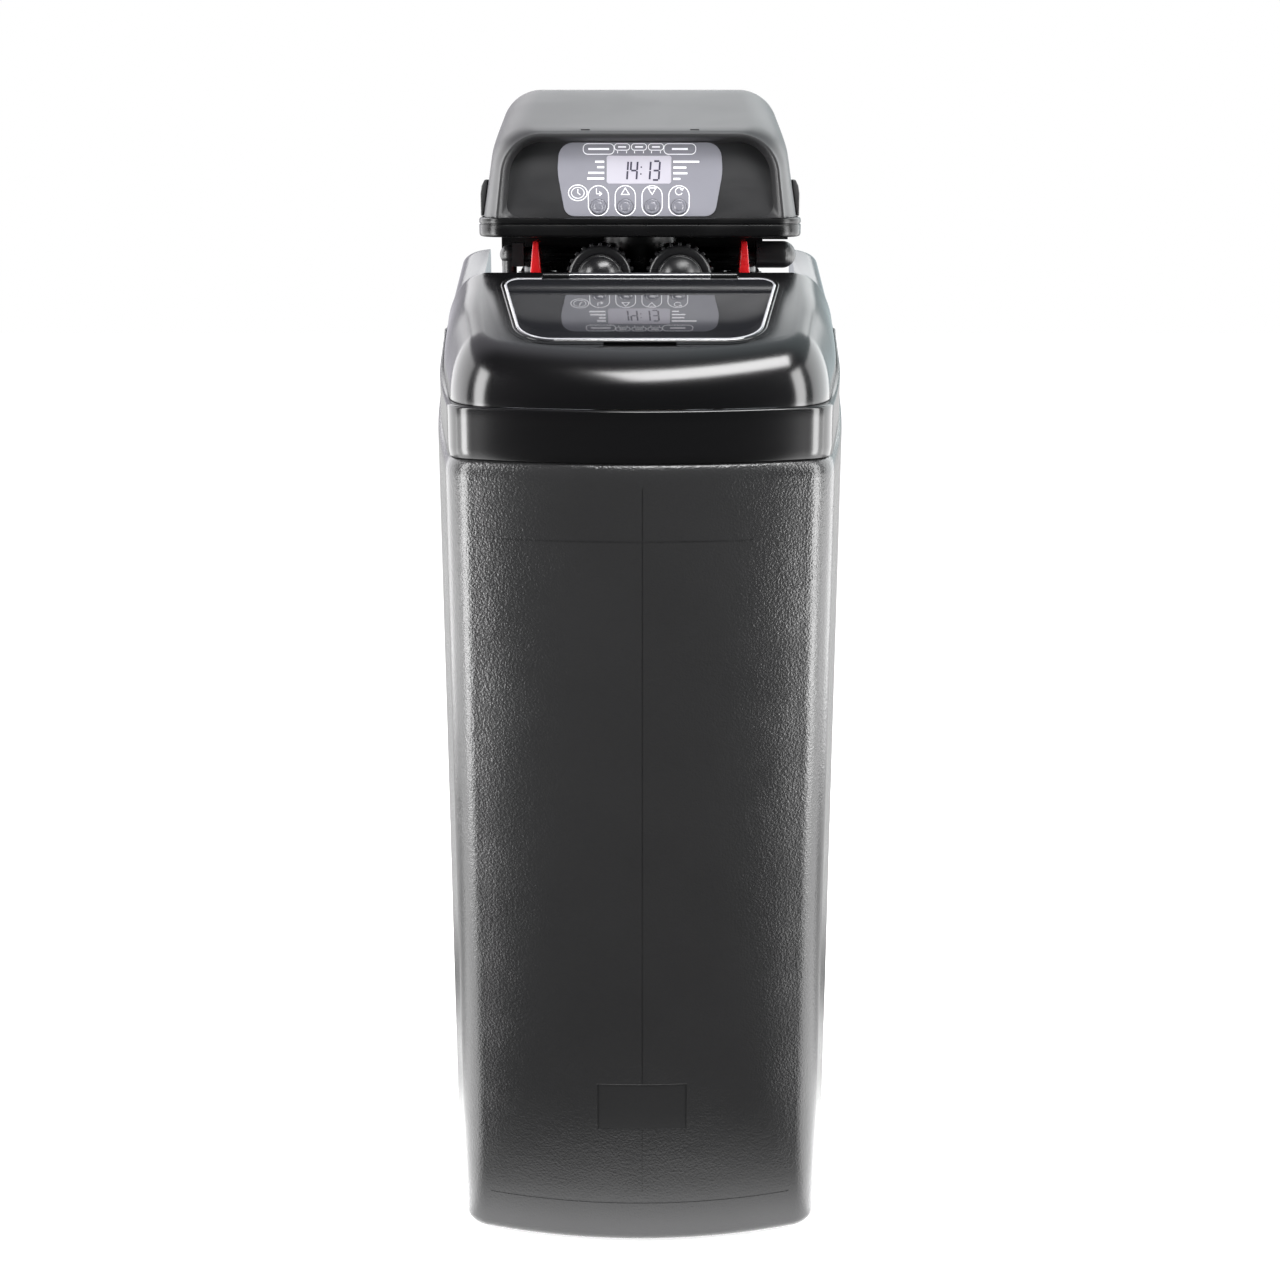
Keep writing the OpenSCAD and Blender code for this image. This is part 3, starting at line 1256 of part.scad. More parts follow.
// A button: a domed cap through the panel, a flange behind the face plate and a stem.
module button(k) {
    dome = 24;
    top = panel_t + 2.4;
    color("#9a9aa2") on_face() translate([button_x[k], button_v, 0]) {
        intersection() {
            translate([0, 0, -face_t - 1]) cylinder(r = button_r, h = 12);
            translate([0, 0, top - dome]) sphere(r = dome);
        }
        translate([0, 0, -face_t - seat_gap - 2]) cylinder(r = button_r + 2.5, h = 2);
        translate([0, 0, -face_t - 2 - 5]) cylinder(r = 2.5, h = 6);
    }
}

module button_clock() { button(0); }
module button_up() { button(1); }
module button_down() { button(2); }
module button_cycle() { button(3); }

cabinet_shell();
front_collar();
rear_deck();
salt_lid();
window_flap();
flap_hinge_pin();
overflow_elbow();
overflow_gasket();
resin_tank();
tank_boot();
resin_bed();
riser_tube();
lower_strainer();
upper_strainer();
neck_o_ring();
brine_well();
brine_well_cap();
safety_valve();
pickup_tube();
brine_float();
float_rod();
air_check_cage();
air_check_ball();
brine_line();
valve_body();
seal_stack();
piston();
piston_rod();
drive_cap();
drive_gear();
reduction_gear();
motor_pinion();
drive_motor();
drive_bracket();
bracket_screws();
cap_nuts();
end_caps();
meter_turbine();
turbine_spindle();
injector();
bypass_body();
inlet_rotor();
outlet_rotor();
inlet_handle();
outlet_handle();
union_nuts();
tailpieces();
drain_elbow();
brine_elbow();
hood_base();
hood_shell();
hood_clips();
face_plate();
grey_panel();
display();
circuit_board();
button_clock();
button_up();
button_down();
button_cycle();
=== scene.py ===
"""Fine shapes and finishes of a cabinet water softener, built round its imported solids.

Laid out as an add-on and run as a script. Metres, +Z up, the front faces -Y. Shapes are worked out in
millimetres with the same rules as the solids and scaled when their mesh is made.
"""
from math import acos, asin, atan2, copysign, cos, exp, pi, radians, sin, sqrt, tan

import bmesh
import bpy
from mathutils import Matrix, Vector


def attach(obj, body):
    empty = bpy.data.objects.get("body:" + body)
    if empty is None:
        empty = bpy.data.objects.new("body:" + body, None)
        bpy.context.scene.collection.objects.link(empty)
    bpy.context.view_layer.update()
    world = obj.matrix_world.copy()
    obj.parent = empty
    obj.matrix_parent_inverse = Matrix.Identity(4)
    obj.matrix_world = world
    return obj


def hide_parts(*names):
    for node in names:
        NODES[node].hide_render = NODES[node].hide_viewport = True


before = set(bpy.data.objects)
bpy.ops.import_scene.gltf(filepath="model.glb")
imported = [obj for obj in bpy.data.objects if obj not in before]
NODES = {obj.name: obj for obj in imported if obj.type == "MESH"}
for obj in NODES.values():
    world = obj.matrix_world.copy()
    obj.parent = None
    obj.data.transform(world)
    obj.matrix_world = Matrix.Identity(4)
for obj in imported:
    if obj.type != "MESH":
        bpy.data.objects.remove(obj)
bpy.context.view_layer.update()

bl_info = {
    "name": "Cabinet water softener",
    "version": (1, 0, 0),
    "blender": (4, 5, 0),
    "location": "View3D > Sidebar > Softener",
    "description": "Fine shapes and finishes of a cabinet water softener",
    "category": "Object",
}

MM = 0.001
WHITE = (1, 1, 1, 1)
SIDES = (1, -1)                                     # right and left
QUARTER = [radians(t) for t in range(0, 91, 10)]    # steps of a rounded edge


# Sizes and colours

def length(name, text, value):
    return bpy.props.FloatProperty(name=name, description=text, default=value, min=0.0, unit="LENGTH", precision=4)


def angle(name, text, degrees):
    return bpy.props.FloatProperty(name=name, description=text, default=radians(degrees), subtype="ANGLE")


def colour(name, text, value):
    return bpy.props.FloatVectorProperty(name=name, description=text, default=value, size=3, min=0, max=1,
                                         subtype="COLOR")


class SoftenerSizes(bpy.types.PropertyGroup):
    """Sizes that shape the pieces."""
    body_w: length("Body width", "Greatest width of the cabinet", 0.400)
    body_d: length("Body depth", "Depth of the cabinet", 0.480)
    rim_front: length("Front rim", "Height of the cabinet's rim at the front", 0.803)
    rim_rise: length("Rim rise", "Rise of the rim from the front to the rear", 0.067)
    band_h: length("Band height", "Height of the glossy band at the front", 0.0485)
    draft: length("Draft", "Inward draft of each side from the rim to the floor", 0.004)
    foot_r: length("Foot radius", "Radius of the rounded lower edge", 0.014)
    lid_rear: length("Lid rear", "Height of the lid's rear edge", 0.963)
    lid_slope: angle("Lid slope", "Slope of the lid's top", 19.5)
    lid_round: length("Lid shoulder", "Width of the lid's rounded shoulder", 0.035)
    deck_z: length("Deck height", "Height of the deck's rear edge", 0.972)
    deck_slope: angle("Deck slope", "Slope of the deck's shoulders", 14.0)
    hood_seat: length("Hood seat", "Height on which the hood stands", 1.0143)
    hood_h: length("Hood height", "Height of the hood above its seat", 0.126)
    brow_h: length("Brow height", "Height of the hood's brow above its seat", 0.083)
    brow_lean: length("Brow lean", "Inward lean of the brow's sides", 0.010)
    face_lean: angle("Face lean", "Backward lean of the control face", 10.0)
    nut_teeth: bpy.props.IntProperty(name="Nut teeth", description="Teeth round each ring nut", default=24, min=6,
                                     max=48)
    print_w: length("Print width", "Width of the printed lines on the panel", 0.00075)


class SoftenerColours(bpy.types.PropertyGroup):
    """Colours of the finishes."""
    cabinet: colour("Cabinet", "Grained black of the cabinet", (0.0185, 0.0185, 0.0190))
    # The foot's paler tone is painted light: it stands in for the light that the floor throws up onto the foot.
    foot: colour("Foot", "Painted_floor_light, paler tone of the cabinet's foot", (0.075, 0.075, 0.077))
    gloss: colour("Gloss black", "Polished black of the lid and the band", (0.0030, 0.0030, 0.0033))
    deck: colour("Deck", "Polished black of the rear deck", (0.012, 0.012, 0.015))
    hood: colour("Hood", "Satin black of the hood", (0.018, 0.018, 0.019))
    face: colour("Face", "Satin black behind the panel", (0.0070, 0.0070, 0.0078))
    fitting: colour("Fittings", "Black of the valve and its fittings", (0.0065, 0.0065, 0.0072))
    panel: colour("Panel", "Grey of the control panel", (0.17, 0.17, 0.195))
    glass: colour("Display", "Pale face of the display", (0.34, 0.33, 0.37))
    red: colour("Handles", "Red of the bypass handles", (0.62, 0.012, 0.016))


# Outlines

def unit(v):
    return v / v.length


def left_of(v):
    return Vector((-v.y, v.x))


def vectors(*points):
    return [Vector(p) for p in points]


def rectangle(left, low, right, high):
    return vectors((left, low), (right, low), (right, high), (left, high))


def inset(corners, e):
    """The polygon with each side moved inwards."""
    shifted = []
    for i, b in enumerate(corners):
        n1, n2 = left_of(unit(b - corners[i - 1])), left_of(unit(corners[(i + 1) % len(corners)] - b))
        shifted.append(b + (n1 + n2) * (e / (1 + n1.dot(n2))))
    return shifted


def corner_arc(a, b, c, r, n):
    u, w = unit(a - b), unit(c - b)
    half = acos(max(-1, min(1, u.dot(w)))) / 2
    m = b + unit(u + w) * (r / sin(half))
    s = b + u * (r / tan(half)) - m
    start, turn = atan2(s.y, s.x), pi - 2 * half
    return [m + Vector((cos(start + turn * k / n), sin(start + turn * k / n))) * r for k in range(n + 1)]


def rounded(corners, radii, counts, splits):
    """Closed outline with an arc at each corner and extra points on each straight stretch."""
    n = len(corners)
    arcs = [corner_arc(corners[i - 1], corners[i], corners[(i + 1) % n], radii[i], counts[i]) for i in range(n)]
    points = []
    for i, stretch in enumerate(arcs):
        after = arcs[(i + 1) % n][0]
        points += stretch
        points += [stretch[-1].lerp(after, k / (splits[i] + 1)) for k in range(1, splits[i] + 1)]
    return points


def both_ways(right):
    return right + right[::-1]


def lifted(points, height):
    """Points of the plan at the height that their depth gives."""
    return [(p.x, p.y, height(p.y)) for p in points]


class Shape:
    """The cabinet's rules in millimetres."""
    bow_r, bow_steps = 480, 64              # bowed front
    front_r, flank_r, rear_r = 38, 300, 40  # rounded corners, and the bend into each side
    least_r = 4
    lid_gap, lid_front_r = 7, 62            # lid's outline inside the cabinet's
    deck_depth = 215                        # from the front to the deck

    def __init__(self, sizes):
        other = ("lid_slope", "deck_slope", "face_lean", "nut_teeth")
        s = self.s = {k: getattr(sizes, k) * 1000 for k in SoftenerSizes.__annotations__ if k not in other}
        self.half, self.rear = s["body_w"] / 2, s["body_d"] / 2
        self.front = -self.rear
        self.deck_front, self.deck_rear = self.front + self.deck_depth, self.rear - 3
        self.lid_rear_y = self.deck_front - 2
        self.ramp = (self.front + 35, self.deck_front - 15)
        self.rim_rear = s["rim_front"] + s["rim_rise"]
        self.lid_tan, self.deck_tan = tan(sizes.lid_slope), tan(sizes.deck_slope)
        self.lean = sizes.face_lean
        self.slope = Matrix.Translation((0, self.lid_rear_y, s["lid_rear"])) @ Matrix.Rotation(sizes.lid_slope, 4, "X")
        self.face = Matrix.Translation((0, -1, s["hood_seat"])) @ Matrix.Rotation(pi / 2 - self.lean, 4, "X")

    def ease(self, y, end):
        k = min(1, max(0, (y - self.ramp[0]) / (end - self.ramp[0])))
        return k * k

    def rim(self, y):
        return self.s["rim_front"] + self.s["rim_rise"] * self.ease(y, self.ramp[1])

    def deck_top(self, y):
        return self.s["deck_z"] - (self.deck_rear - y) * self.deck_tan

    def ledge(self, y):
        low = self.s["rim_front"] + self.s["band_h"]
        return low + (self.deck_top(self.deck_front) - low) * self.ease(y, self.deck_front)

    def lid_top(self, y):
        return self.s["lid_rear"] + self.lid_tan * (y - self.lid_rear_y)

    def corners(self, rear, bow_half=150):
        bow, x = asin(bow_half / self.bow_r), self.half - 19
        y = self.front + self.bow_r * (1 - cos(bow)) + (x - bow_half) * tan(bow)
        tip = Vector((0, self.front + self.bow_r - self.bow_r / cos(bow)))
        right = vectors((x, y), (self.half, self.front + 145), (self.half, rear))
        return [tip] + right + [Vector((-p.x, p.y)) for p in right[::-1]]

    def bowed(self, corners, bow_r, radii, counts, splits):
        """Outline with the bowed front first, then the right side and the left."""
        return rounded(corners, [bow_r] + both_ways(radii), [self.bow_steps] + both_ways(counts), splits)

    def plan(self, e, height):
        """The cabinet's outline, moved inwards."""
        radii = [max(self.least_r, self.front_r - e), self.flank_r - e, max(self.least_r, self.rear_r - e)]
        return lifted(self.bowed(inset(self.corners(self.rear), e), self.bow_r - e, radii, [16, 8, 12],
                                 [3, 10, 34, 30, 34, 10, 3]), height)

    def band(self, e, height):
        """Open run of the plan round the front, up to the deck."""
        radii, counts, splits = [max(self.least_r, self.front_r - e), self.flank_r - e, 0.01], [16, 8, 1], [3, 10, 10]
        corners = inset(self.corners(self.deck_front - 0.3 + e), e)
        points = self.bowed(corners, self.bow_r - e, radii, counts, splits + [0] + splits[::-1])
        first = self.bow_steps + sum(counts) + 4 + sum(splits)
        return lifted(points[first:] + points[:first], height)

    def lid(self, e, height, skin=0.0):
        v = inset(self.corners(self.rear, 138), self.lid_gap + e)
        rear = self.lid_rear_y - skin - min(e - skin, 4)
        v[3], v[4] = Vector((v[3].x, rear)), Vector((v[4].x, rear))
        radii = [max(self.least_r, self.lid_front_r - e), self.flank_r - self.lid_gap - e, 6]
        return lifted(self.bowed(v, self.bow_r - self.lid_gap - e, radii, [24, 8, 6], [3, 8, 8, 40, 8, 8, 3]), height)

    def flap(self, e, height=0.0):
        """The window's outline on the lid's slope."""
        corners = vectors((-112, -161), (112, -161), (137, -20), (-137, -20))
        points = rounded(inset(corners, e), [38 - e, 38 - e, 16 - e, 16 - e], [24, 24, 15, 15], [8, 6, 12, 6])
        return [(p.x, p.y, height) for p in points]

    def on_lid(self, *parts):
        return [moved(part, self.slope) for part in parts]


# Meshes: a part is a list of points in millimetres and a list of faces

def loft(rings, ends=(True, True), loop=False, open_run=False):
    """Skin through rings with the same number of points."""
    n, m = len(rings[0]), len(rings)
    points = [p for ring in rings for p in ring]
    faces = []
    for i in range(m if loop else m - 1):
        j = (i + 1) % m
        for k in range(n - 1 if open_run else n):
            q = (k + 1) % n
            faces.append((i * n + k, i * n + q, j * n + q, j * n + k))
    if not loop and ends[0]:
        faces.append(tuple(range(n - 1, -1, -1)))
    if not loop and ends[1]:
        faces.append(tuple((m - 1) * n + k for k in range(n)))
    if loop and open_run:
        faces.append(tuple(i * n for i in range(m)))
        faces.append(tuple(i * n + n - 1 for i in range(m - 1, -1, -1)))
    return points, faces


def lathe(profile, steps=64):
    """A profile of (radius, height) turned about Z; points on the axis are merged when the mesh is made."""
    turns = [2 * pi * k / steps for k in range(steps)]
    return loft([[(r * cos(t), r * sin(t), h) for t in turns] for r, h in profile], ends=(False, False))


def joined(*parts):
    points, faces = [], []
    for p, f in parts:
        faces += [tuple(i + len(points) for i in face) for face in f]
        points += list(p)
    return points, faces


def moved(part, matrix):
    return [tuple(matrix @ Vector(p)) for p in part[0]], part[1]


def plate(outline, low, high):
    return loft([[(p[0], p[1], z) for p in outline] for z in (low, high)])


def block(one, other):
    """Box between two opposite corners."""
    (a, d), (b, e), (c, f) = [sorted(pair) for pair in zip(one, other)]
    return plate([(a, b), (d, b), (d, e), (a, e)], c, f)


def rod(start, end, r, steps=48):
    a, b = Vector(start), Vector(end)
    turn, far = (b - a).to_track_quat("Z", "Y").to_matrix().to_4x4(), (b - a).length
    return moved(lathe([(0, 0), (r, 0), (r, far), (0, far)], steps), Matrix.Translation(a) @ turn)


def weld(mesh, outward=False, gap=2e-6):
    """Merges doubled points, drops empty faces and turns the faces outwards if asked."""
    work = bmesh.new()
    work.from_mesh(mesh)
    bmesh.ops.remove_doubles(work, verts=work.verts, dist=gap)
    bmesh.ops.dissolve_degenerate(work, edges=work.edges, dist=gap / 2)
    if outward:
        bmesh.ops.recalc_face_normals(work, faces=work.faces)
    work.to_mesh(mesh)
    work.free()


def smooth(piece, sharp):
    piece.data.shade_smooth()
    piece.data.set_sharp_from_angle(angle=radians(sharp))


def placed(name, mesh):
    piece = bpy.data.objects.new(name, mesh)
    bpy.context.scene.collection.objects.link(piece)
    return piece


def solid(name, part, finish=None, sharp=32, outward=True):
    """A mesh object from a part, merged, facing outwards and smooth up to the sharp angle."""
    mesh = bpy.data.meshes.new(name)
    mesh.from_pydata([Vector(p) * MM for p in part[0]], [], part[1])
    weld(mesh, outward)
    if finish:
        mesh.materials.append(finish)
    piece = placed(name, mesh)
    smooth(piece, sharp)
    return piece


def settle(piece, sharp=32):
    """Turns the evaluated piece into a plain mesh without modifiers."""
    graph = bpy.context.evaluated_depsgraph_get()
    mesh = bpy.data.meshes.new_from_object(piece.evaluated_get(graph))
    old, name = piece.data, piece.name
    piece.modifiers.clear()
    piece.data = mesh
    bpy.data.meshes.remove(old)
    mesh.name = name
    if not len(mesh.polygons):
        raise RuntimeError(f"{name} came out empty")
    smooth(piece, sharp)
    return piece


def combine(piece, operation, parts, sharp):
    for k, part in enumerate(parts):
        tool = solid(f"{piece.name}_tool_{k}", part, piece.data.materials[0] if piece.data.materials else None)
        step = piece.modifiers.new("combine", "BOOLEAN")
        step.operation, step.solver, step.object = operation, "EXACT", tool
        settle(piece, sharp)
        weld(piece.data, gap=1e-5)
        smooth(piece, sharp)
        bpy.data.objects.remove(tool)


def cut(piece, *parts, sharp=32):
    """Takes parts out of a piece."""
    combine(piece, "DIFFERENCE", parts, sharp)


def join(piece, *parts, sharp=32):
    """Adds parts to a piece."""
    combine(piece, "UNION", parts, sharp)


def soften(piece, width, segments=2, limit=35, sharp=32):
    """Rounds the edges that turn more than the limit."""
    step = piece.modifiers.new("soft edges", "BEVEL")
    step.width, step.segments, step.limit_method = width * MM, segments, "ANGLE"
    step.angle_limit, step.use_clamp_overlap, step.harden_normals = radians(limit), True, False
    settle(piece, sharp)


def mesh_part(piece):
    """The part that a piece holds; the piece is removed."""
    part = ([tuple(v.co / MM) for v in piece.data.vertices], [tuple(f.vertices) for f in piece.data.polygons])
    bpy.data.objects.remove(piece)
    return part


def fit(piece, body, slot, *nodes):
    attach(piece, body)
    if nodes:
        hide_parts(*nodes)


# Node trees

def fill(tree, node, inputs):
    """Links or sets a node's inputs."""
    for key, value in inputs.items():
        if isinstance(value, bpy.types.NodeSocket):
            tree.links.new(value, node.inputs[key])
        else:
            node.inputs[key].default_value = value
    return node


def put(tree, kind, inputs=None, **settings):
    """A new node with its settings and inputs; a shader node goes by its short name."""
    node = tree.nodes.new(kind if "Node" in kind else "ShaderNode" + kind)
    for key, value in settings.items():
        setattr(node, key, value)
    return fill(tree, node, inputs or {})


def calc(tree, operation, a, b=0.0):
    return put(tree, "Math", {0: a, 1: b}, operation=operation).outputs[0]


def add(tree, a, b):
    return calc(tree, "ADD", a, b)


def sub(tree, a, b):
    return calc(tree, "SUBTRACT", a, b)


def mul(tree, a, b):
    return calc(tree, "MULTIPLY", a, b)


def most(tree, a, b):
    return calc(tree, "MAXIMUM", a, b)


def ramp(tree, value, low, high, to_low=0.0, to_high=1.0):
    return put(tree, "MapRange", {0: value, 1: low, 2: high, 3: to_low, 4: to_high},
               interpolation_type="SMOOTHSTEP").outputs[0]


def blend(tree, fac, a, b):
    return put(tree, "Mix", {0: fac, 6: a, 7: b}, data_type="RGBA").outputs[2]


def noise(tree, where, scale, detail=2.0, distortion=0.0):
    return put(tree, "TexNoise", {"Vector": where, "Scale": scale, "Detail": detail,
                                            "Distortion": distortion}).outputs[0]


def bump(tree, height, depth):
    return put(tree, "Bump", {"Height": height, "Strength": 1.0, "Distance": depth * MM}).outputs[0]


def axes(tree, where):
    return put(tree, "SeparateXYZ", {0: where}).outputs


def group(name, kind, inputs, outputs):
    """A node tree with its sockets: the tree, its inputs and its end node."""
    tree = bpy.data.node_groups.new(name, kind)
    for way, sockets in (("INPUT", inputs), ("OUTPUT", outputs)):
        for label, socket in sockets.items():
            tree.interface.new_socket(label, in_out=way, socket_type="NodeSocket" + socket)
    return tree, tree.nodes.new("NodeGroupInput").outputs, tree.nodes.new("NodeGroupOutput")


# Finishes

def grain_group():
    """Moulded grain: fine pebbles and broad unevenness."""
    tree, into, out = group("Moulded grain", "ShaderNodeTree",
                            {"Vector": "Vector", "Scale": "Float", "Coarse": "Float"}, {"Height": "Float"})
    where, scale = into["Vector"], into["Scale"]
    cells = put(tree, "TexVoronoi", {"Vector": where, "Scale": scale}, feature="SMOOTH_F1").outputs[0]
    fine = noise(tree, where, mul(tree, scale, 1.7), 3.0)
    broad = noise(tree, where, mul(tree, scale, 0.06), 4.0)
    pebble = add(tree, mul(tree, cells, 0.6), mul(tree, fine, 0.5))
    fill(tree, out, {"Height": add(tree, pebble, mul(tree, broad, into["Coarse"]))})
    return tree


def drift_group():
    """Slow drift of a colour over a moulded surface."""
    tree, into, out = group("Colour drift", "ShaderNodeTree",
                            {"Vector": "Vector", "Colour": "Color", "Scale": "Float", "Spread": "Float"},
                            {"Colour": "Color"})
    cloud = sub(tree, noise(tree, into["Vector"], into["Scale"], 5.0), 0.5)
    level = add(tree, 1.0, mul(tree, cloud, mul(tree, into["Spread"], 2.0)))
    scaled = put(tree, "VectorMath", {0: into["Colour"], "Scale": level}, operation="SCALE")
    fill(tree, out, {"Colour": scaled.outputs[0]})
    return tree


def smear_group():
    """Roughness that varies with wiping marks and faint dust."""
    tree, into, out = group("Wiped gloss", "ShaderNodeTree",
                            {"Vector": "Vector", "Low": "Float", "High": "Float", "Scale": "Float"},
                            {"Roughness": "Float"})
    tall = put(tree, "VectorMath", {0: into["Vector"], 1: (1.0, 1.0, 2.6)}, operation="MULTIPLY").outputs[0]
    wipe = ramp(tree, noise(tree, tall, into["Scale"], 6.0, 0.6), 0.35, 0.7)
    fill(tree, out, {"Roughness": add(tree, into["Low"], mul(tree, wipe, sub(tree, into["High"], into["Low"])))})
    return tree


GROUPS = {}


def shared(tree, make, inputs):
    """Places a shared effect in a material."""
    if make not in GROUPS:
        GROUPS[make] = make()
    return put(tree, "Group", inputs, node_tree=GROUPS[make]).outputs[0]


def grain(tree, where, scale, coarse):
    return shared(tree, grain_group, {"Vector": where, "Scale": scale, "Coarse": coarse})


def drift(tree, where, base, scale, spread):
    return shared(tree, drift_group, {"Vector": where, "Colour": base, "Scale": scale, "Spread": spread})


def smear(tree, where, low, high, scale):
    return shared(tree, smear_group, {"Vector": where, "Low": low, "High": high, "Scale": scale})


def blank(name):
    made = bpy.data.materials.new(name)
    made.use_nodes = True
    tree = made.node_tree
    where = tree.nodes.new("ShaderNodeTexCoord").outputs["Object"]
    return made, tree, tree.nodes["Principled BSDF"], where


def plastic(name, base, low, high, pebbles=900.0, depth=0.02, spread=0.18, scale=14.0, fixed=None):
    """Moulded plastic or metal with a drifting colour, wiped gloss and a fine grain."""
    made, tree, shader, where = blank(name)
    fill(tree, shader, {"Base Color": drift(tree, where, (*base, 1.0), scale, spread),
                        "Roughness": smear(tree, where, low, high, scale * 0.7),
                        "Normal": bump(tree, grain(tree, where, pebbles, 0.3), depth), **(fixed or {})})
    return made


def line_mask(tree, value, centre, half, soft=0.001):
    return ramp(tree, calc(tree, "ABSOLUTE", sub(tree, value, centre)), half, half + soft, 1.0, 0.0)


def cabinet_finish(c):
    """Grained polyethylene, paler at the foot with painted floor light, and smoother in the bare label recess."""
    made, tree, shader, where = blank("cabinet_black")
    x, y, z = axes(tree, where)
    # Painted light: towards the floor the colour turns to the paler foot tone, which stands in for light thrown up
    # from the floor.
    tone = blend(tree, ramp(tree, z, 0.0, 0.075, 1.0, 0.0), (*c.cabinet, 1.0), (*c.foot, 1.0))
    recess = mul(tree, line_mask(tree, x, 0.002, 0.0445), line_mask(tree, z, 0.1535, 0.0240))
    recess = mul(tree, recess, ramp(tree, y, -0.12, -0.15, 0.0, 1.0))
    calm = sub(tree, 1.0, mul(tree, recess, 0.75))
    patches = ramp(tree, noise(tree, where, 14.0, 3.0), 0.36, 0.68, 0.75, 1.0)
    pebble = mul(tree, mul(tree, grain(tree, where, 470.0, 0.9), patches), calm)
    fill(tree, shader, {"Base Color": drift(tree, where, tone, 9.0, 0.12),
                        "Roughness": smear(tree, where, 0.18, 0.21, 7.0), "Normal": bump(tree, pebble, 0.42)})
    return made


def window_finish():
    """Smoked see-through plate."""
    made, tree, shader, where = blank("smoked_window")
    fill(tree, shader, {"Base Color": drift(tree, where, (0.03, 0.031, 0.036, 1), 6.0, 0.15),
                        "Roughness": smear(tree, where, 0.02, 0.05, 8.0), "Transmission Weight": 0.6, "IOR": 1.8,
                        "Coat Weight": 1.0, "Coat Roughness": 0.02, "Coat IOR": 1.8})
    return made


def wound_finish():
    """Wound glass fibre in resin: crossing helical bands."""
    made, tree, shader, where = blank("tank_wound")
    x, y, z = axes(tree, where)
    around = mul(tree, calc(tree, "ARCTAN2", sub(tree, y, 0.062), x), 9.0)
    up = mul(tree, z, 60.0)
    crossing = most(tree, calc(tree, "SINE", add(tree, up, around)), calc(tree, "SINE", sub(tree, up, around)))
    bands, strand = ramp(tree, crossing, -0.2, 1.0), noise(tree, where, 260.0, 4.0)
    tint = blend(tree, mul(tree, bands, strand), (0.30, 0.27, 0.20, 1), (0.50, 0.47, 0.38, 1))
    fill(tree, shader, {"Base Color": tint, "Roughness": ramp(tree, strand, 0.3, 0.7, 0.32, 0.5),
                        "Normal": bump(tree, add(tree, bands, strand), 0.2)})
    return made


def bead_finish():
    """Heap of amber resin beads."""
    made, tree, shader, where = blank("resin_beads")
    beads = put(tree, "TexVoronoi", {"Vector": where, "Scale": 900.0}).outputs
    fill(tree, shader, {"Base Color": blend(tree, beads["Color"], (0.22, 0.075, 0.015, 1), (0.48, 0.20, 0.05, 1)),
                        "Roughness": ramp(tree, beads[0], 0.0, 0.6, 0.25, 0.5), "Normal": bump(tree, beads[0], -0.6)})
    return made


def display_finish(c):
    """Display glass, a little lit from behind."""
    made, tree, shader, where = blank("display_glass")
    tint = drift(tree, where, (*c.glass, 1.0), 30.0, 0.05)
    fill(tree, shader, {"Base Color": tint, "Emission Color": tint, "Emission Strength": 0.25,
                        "Roughness": smear(tree, where, 0.08, 0.16, 20.0)})
    return made


METAL = {"Metallic": 1.0}

# Slot: colour or the name of its property, least and greatest roughness, what differs from plain plastic
PLASTICS = {
    "gloss_black": ("gloss", 0.17, 0.21, dict(pebbles=60.0, depth=0.006, spread=0.1, scale=5.0)),
    "deck_black": ("deck", 0.16, 0.22, dict(pebbles=60.0, depth=0.01, spread=0.1, scale=5.0)),
    "window_rim": ((0.30, 0.30, 0.32), 0.08, 0.14, dict(pebbles=200.0, depth=0.004)),
    "steel": ((0.55, 0.56, 0.57), 0.2, 0.34, dict(depth=0.006, fixed=METAL)),
    "fitting_black": ("fitting", 0.24, 0.38, dict(depth=0.03)),
    "rubber": ((0.012, 0.012, 0.012), 0.6, 0.75, dict(depth=0.05)),
    "boot_black": ((0.018, 0.018, 0.019), 0.4, 0.55, dict(depth=0.08)),
    "white_plastic": ((0.66, 0.65, 0.61), 0.3, 0.45, dict(spread=0.06)),
    "dark_plastic": ((0.026, 0.026, 0.029), 0.35, 0.5, dict(depth=0.04)),
    "tubing": ((0.62, 0.61, 0.55), 0.2, 0.32, dict(spread=0.06)),
    "brass": ((0.60, 0.42, 0.13), 0.22, 0.36, dict(depth=0.01, fixed=METAL)),
    "motor_steel": ((0.42, 0.43, 0.44), 0.28, 0.42, dict(fixed=METAL)),
    "red_plastic": ("red", 0.22, 0.34, dict(spread=0.1)),
    "hood_black": ("hood", 0.43, 0.46, dict(pebbles=1500.0, spread=0.05)),
    "tray_black": ((0.0025, 0.0025, 0.0027), 0.24, 0.34, dict(depth=0.03, fixed={"Specular IOR Level": 0.3})),
    "face_black": ("face", 0.42, 0.55, dict(pebbles=1500.0, depth=0.04, spread=0.15)),
    "panel_grey": ("panel", 0.40, 0.50, dict(pebbles=2600.0, depth=0.01, spread=0.05, scale=30.0)),
    "board_green": ((0.012, 0.09, 0.03), 0.3, 0.45, dict(pebbles=300.0, depth=0.05, spread=0.3)),
    "print_white": ((0.80, 0.80, 0.83), 0.45, 0.55, dict(spread=0.04, scale=60.0)),
    "digit_dark": ((0.035, 0.032, 0.055), 0.3, 0.4, dict(spread=0.1, scale=60.0)),
    "button_grey": ((0.15, 0.15, 0.172), 0.12, 0.18, dict(spread=0.06, scale=60.0)),
}

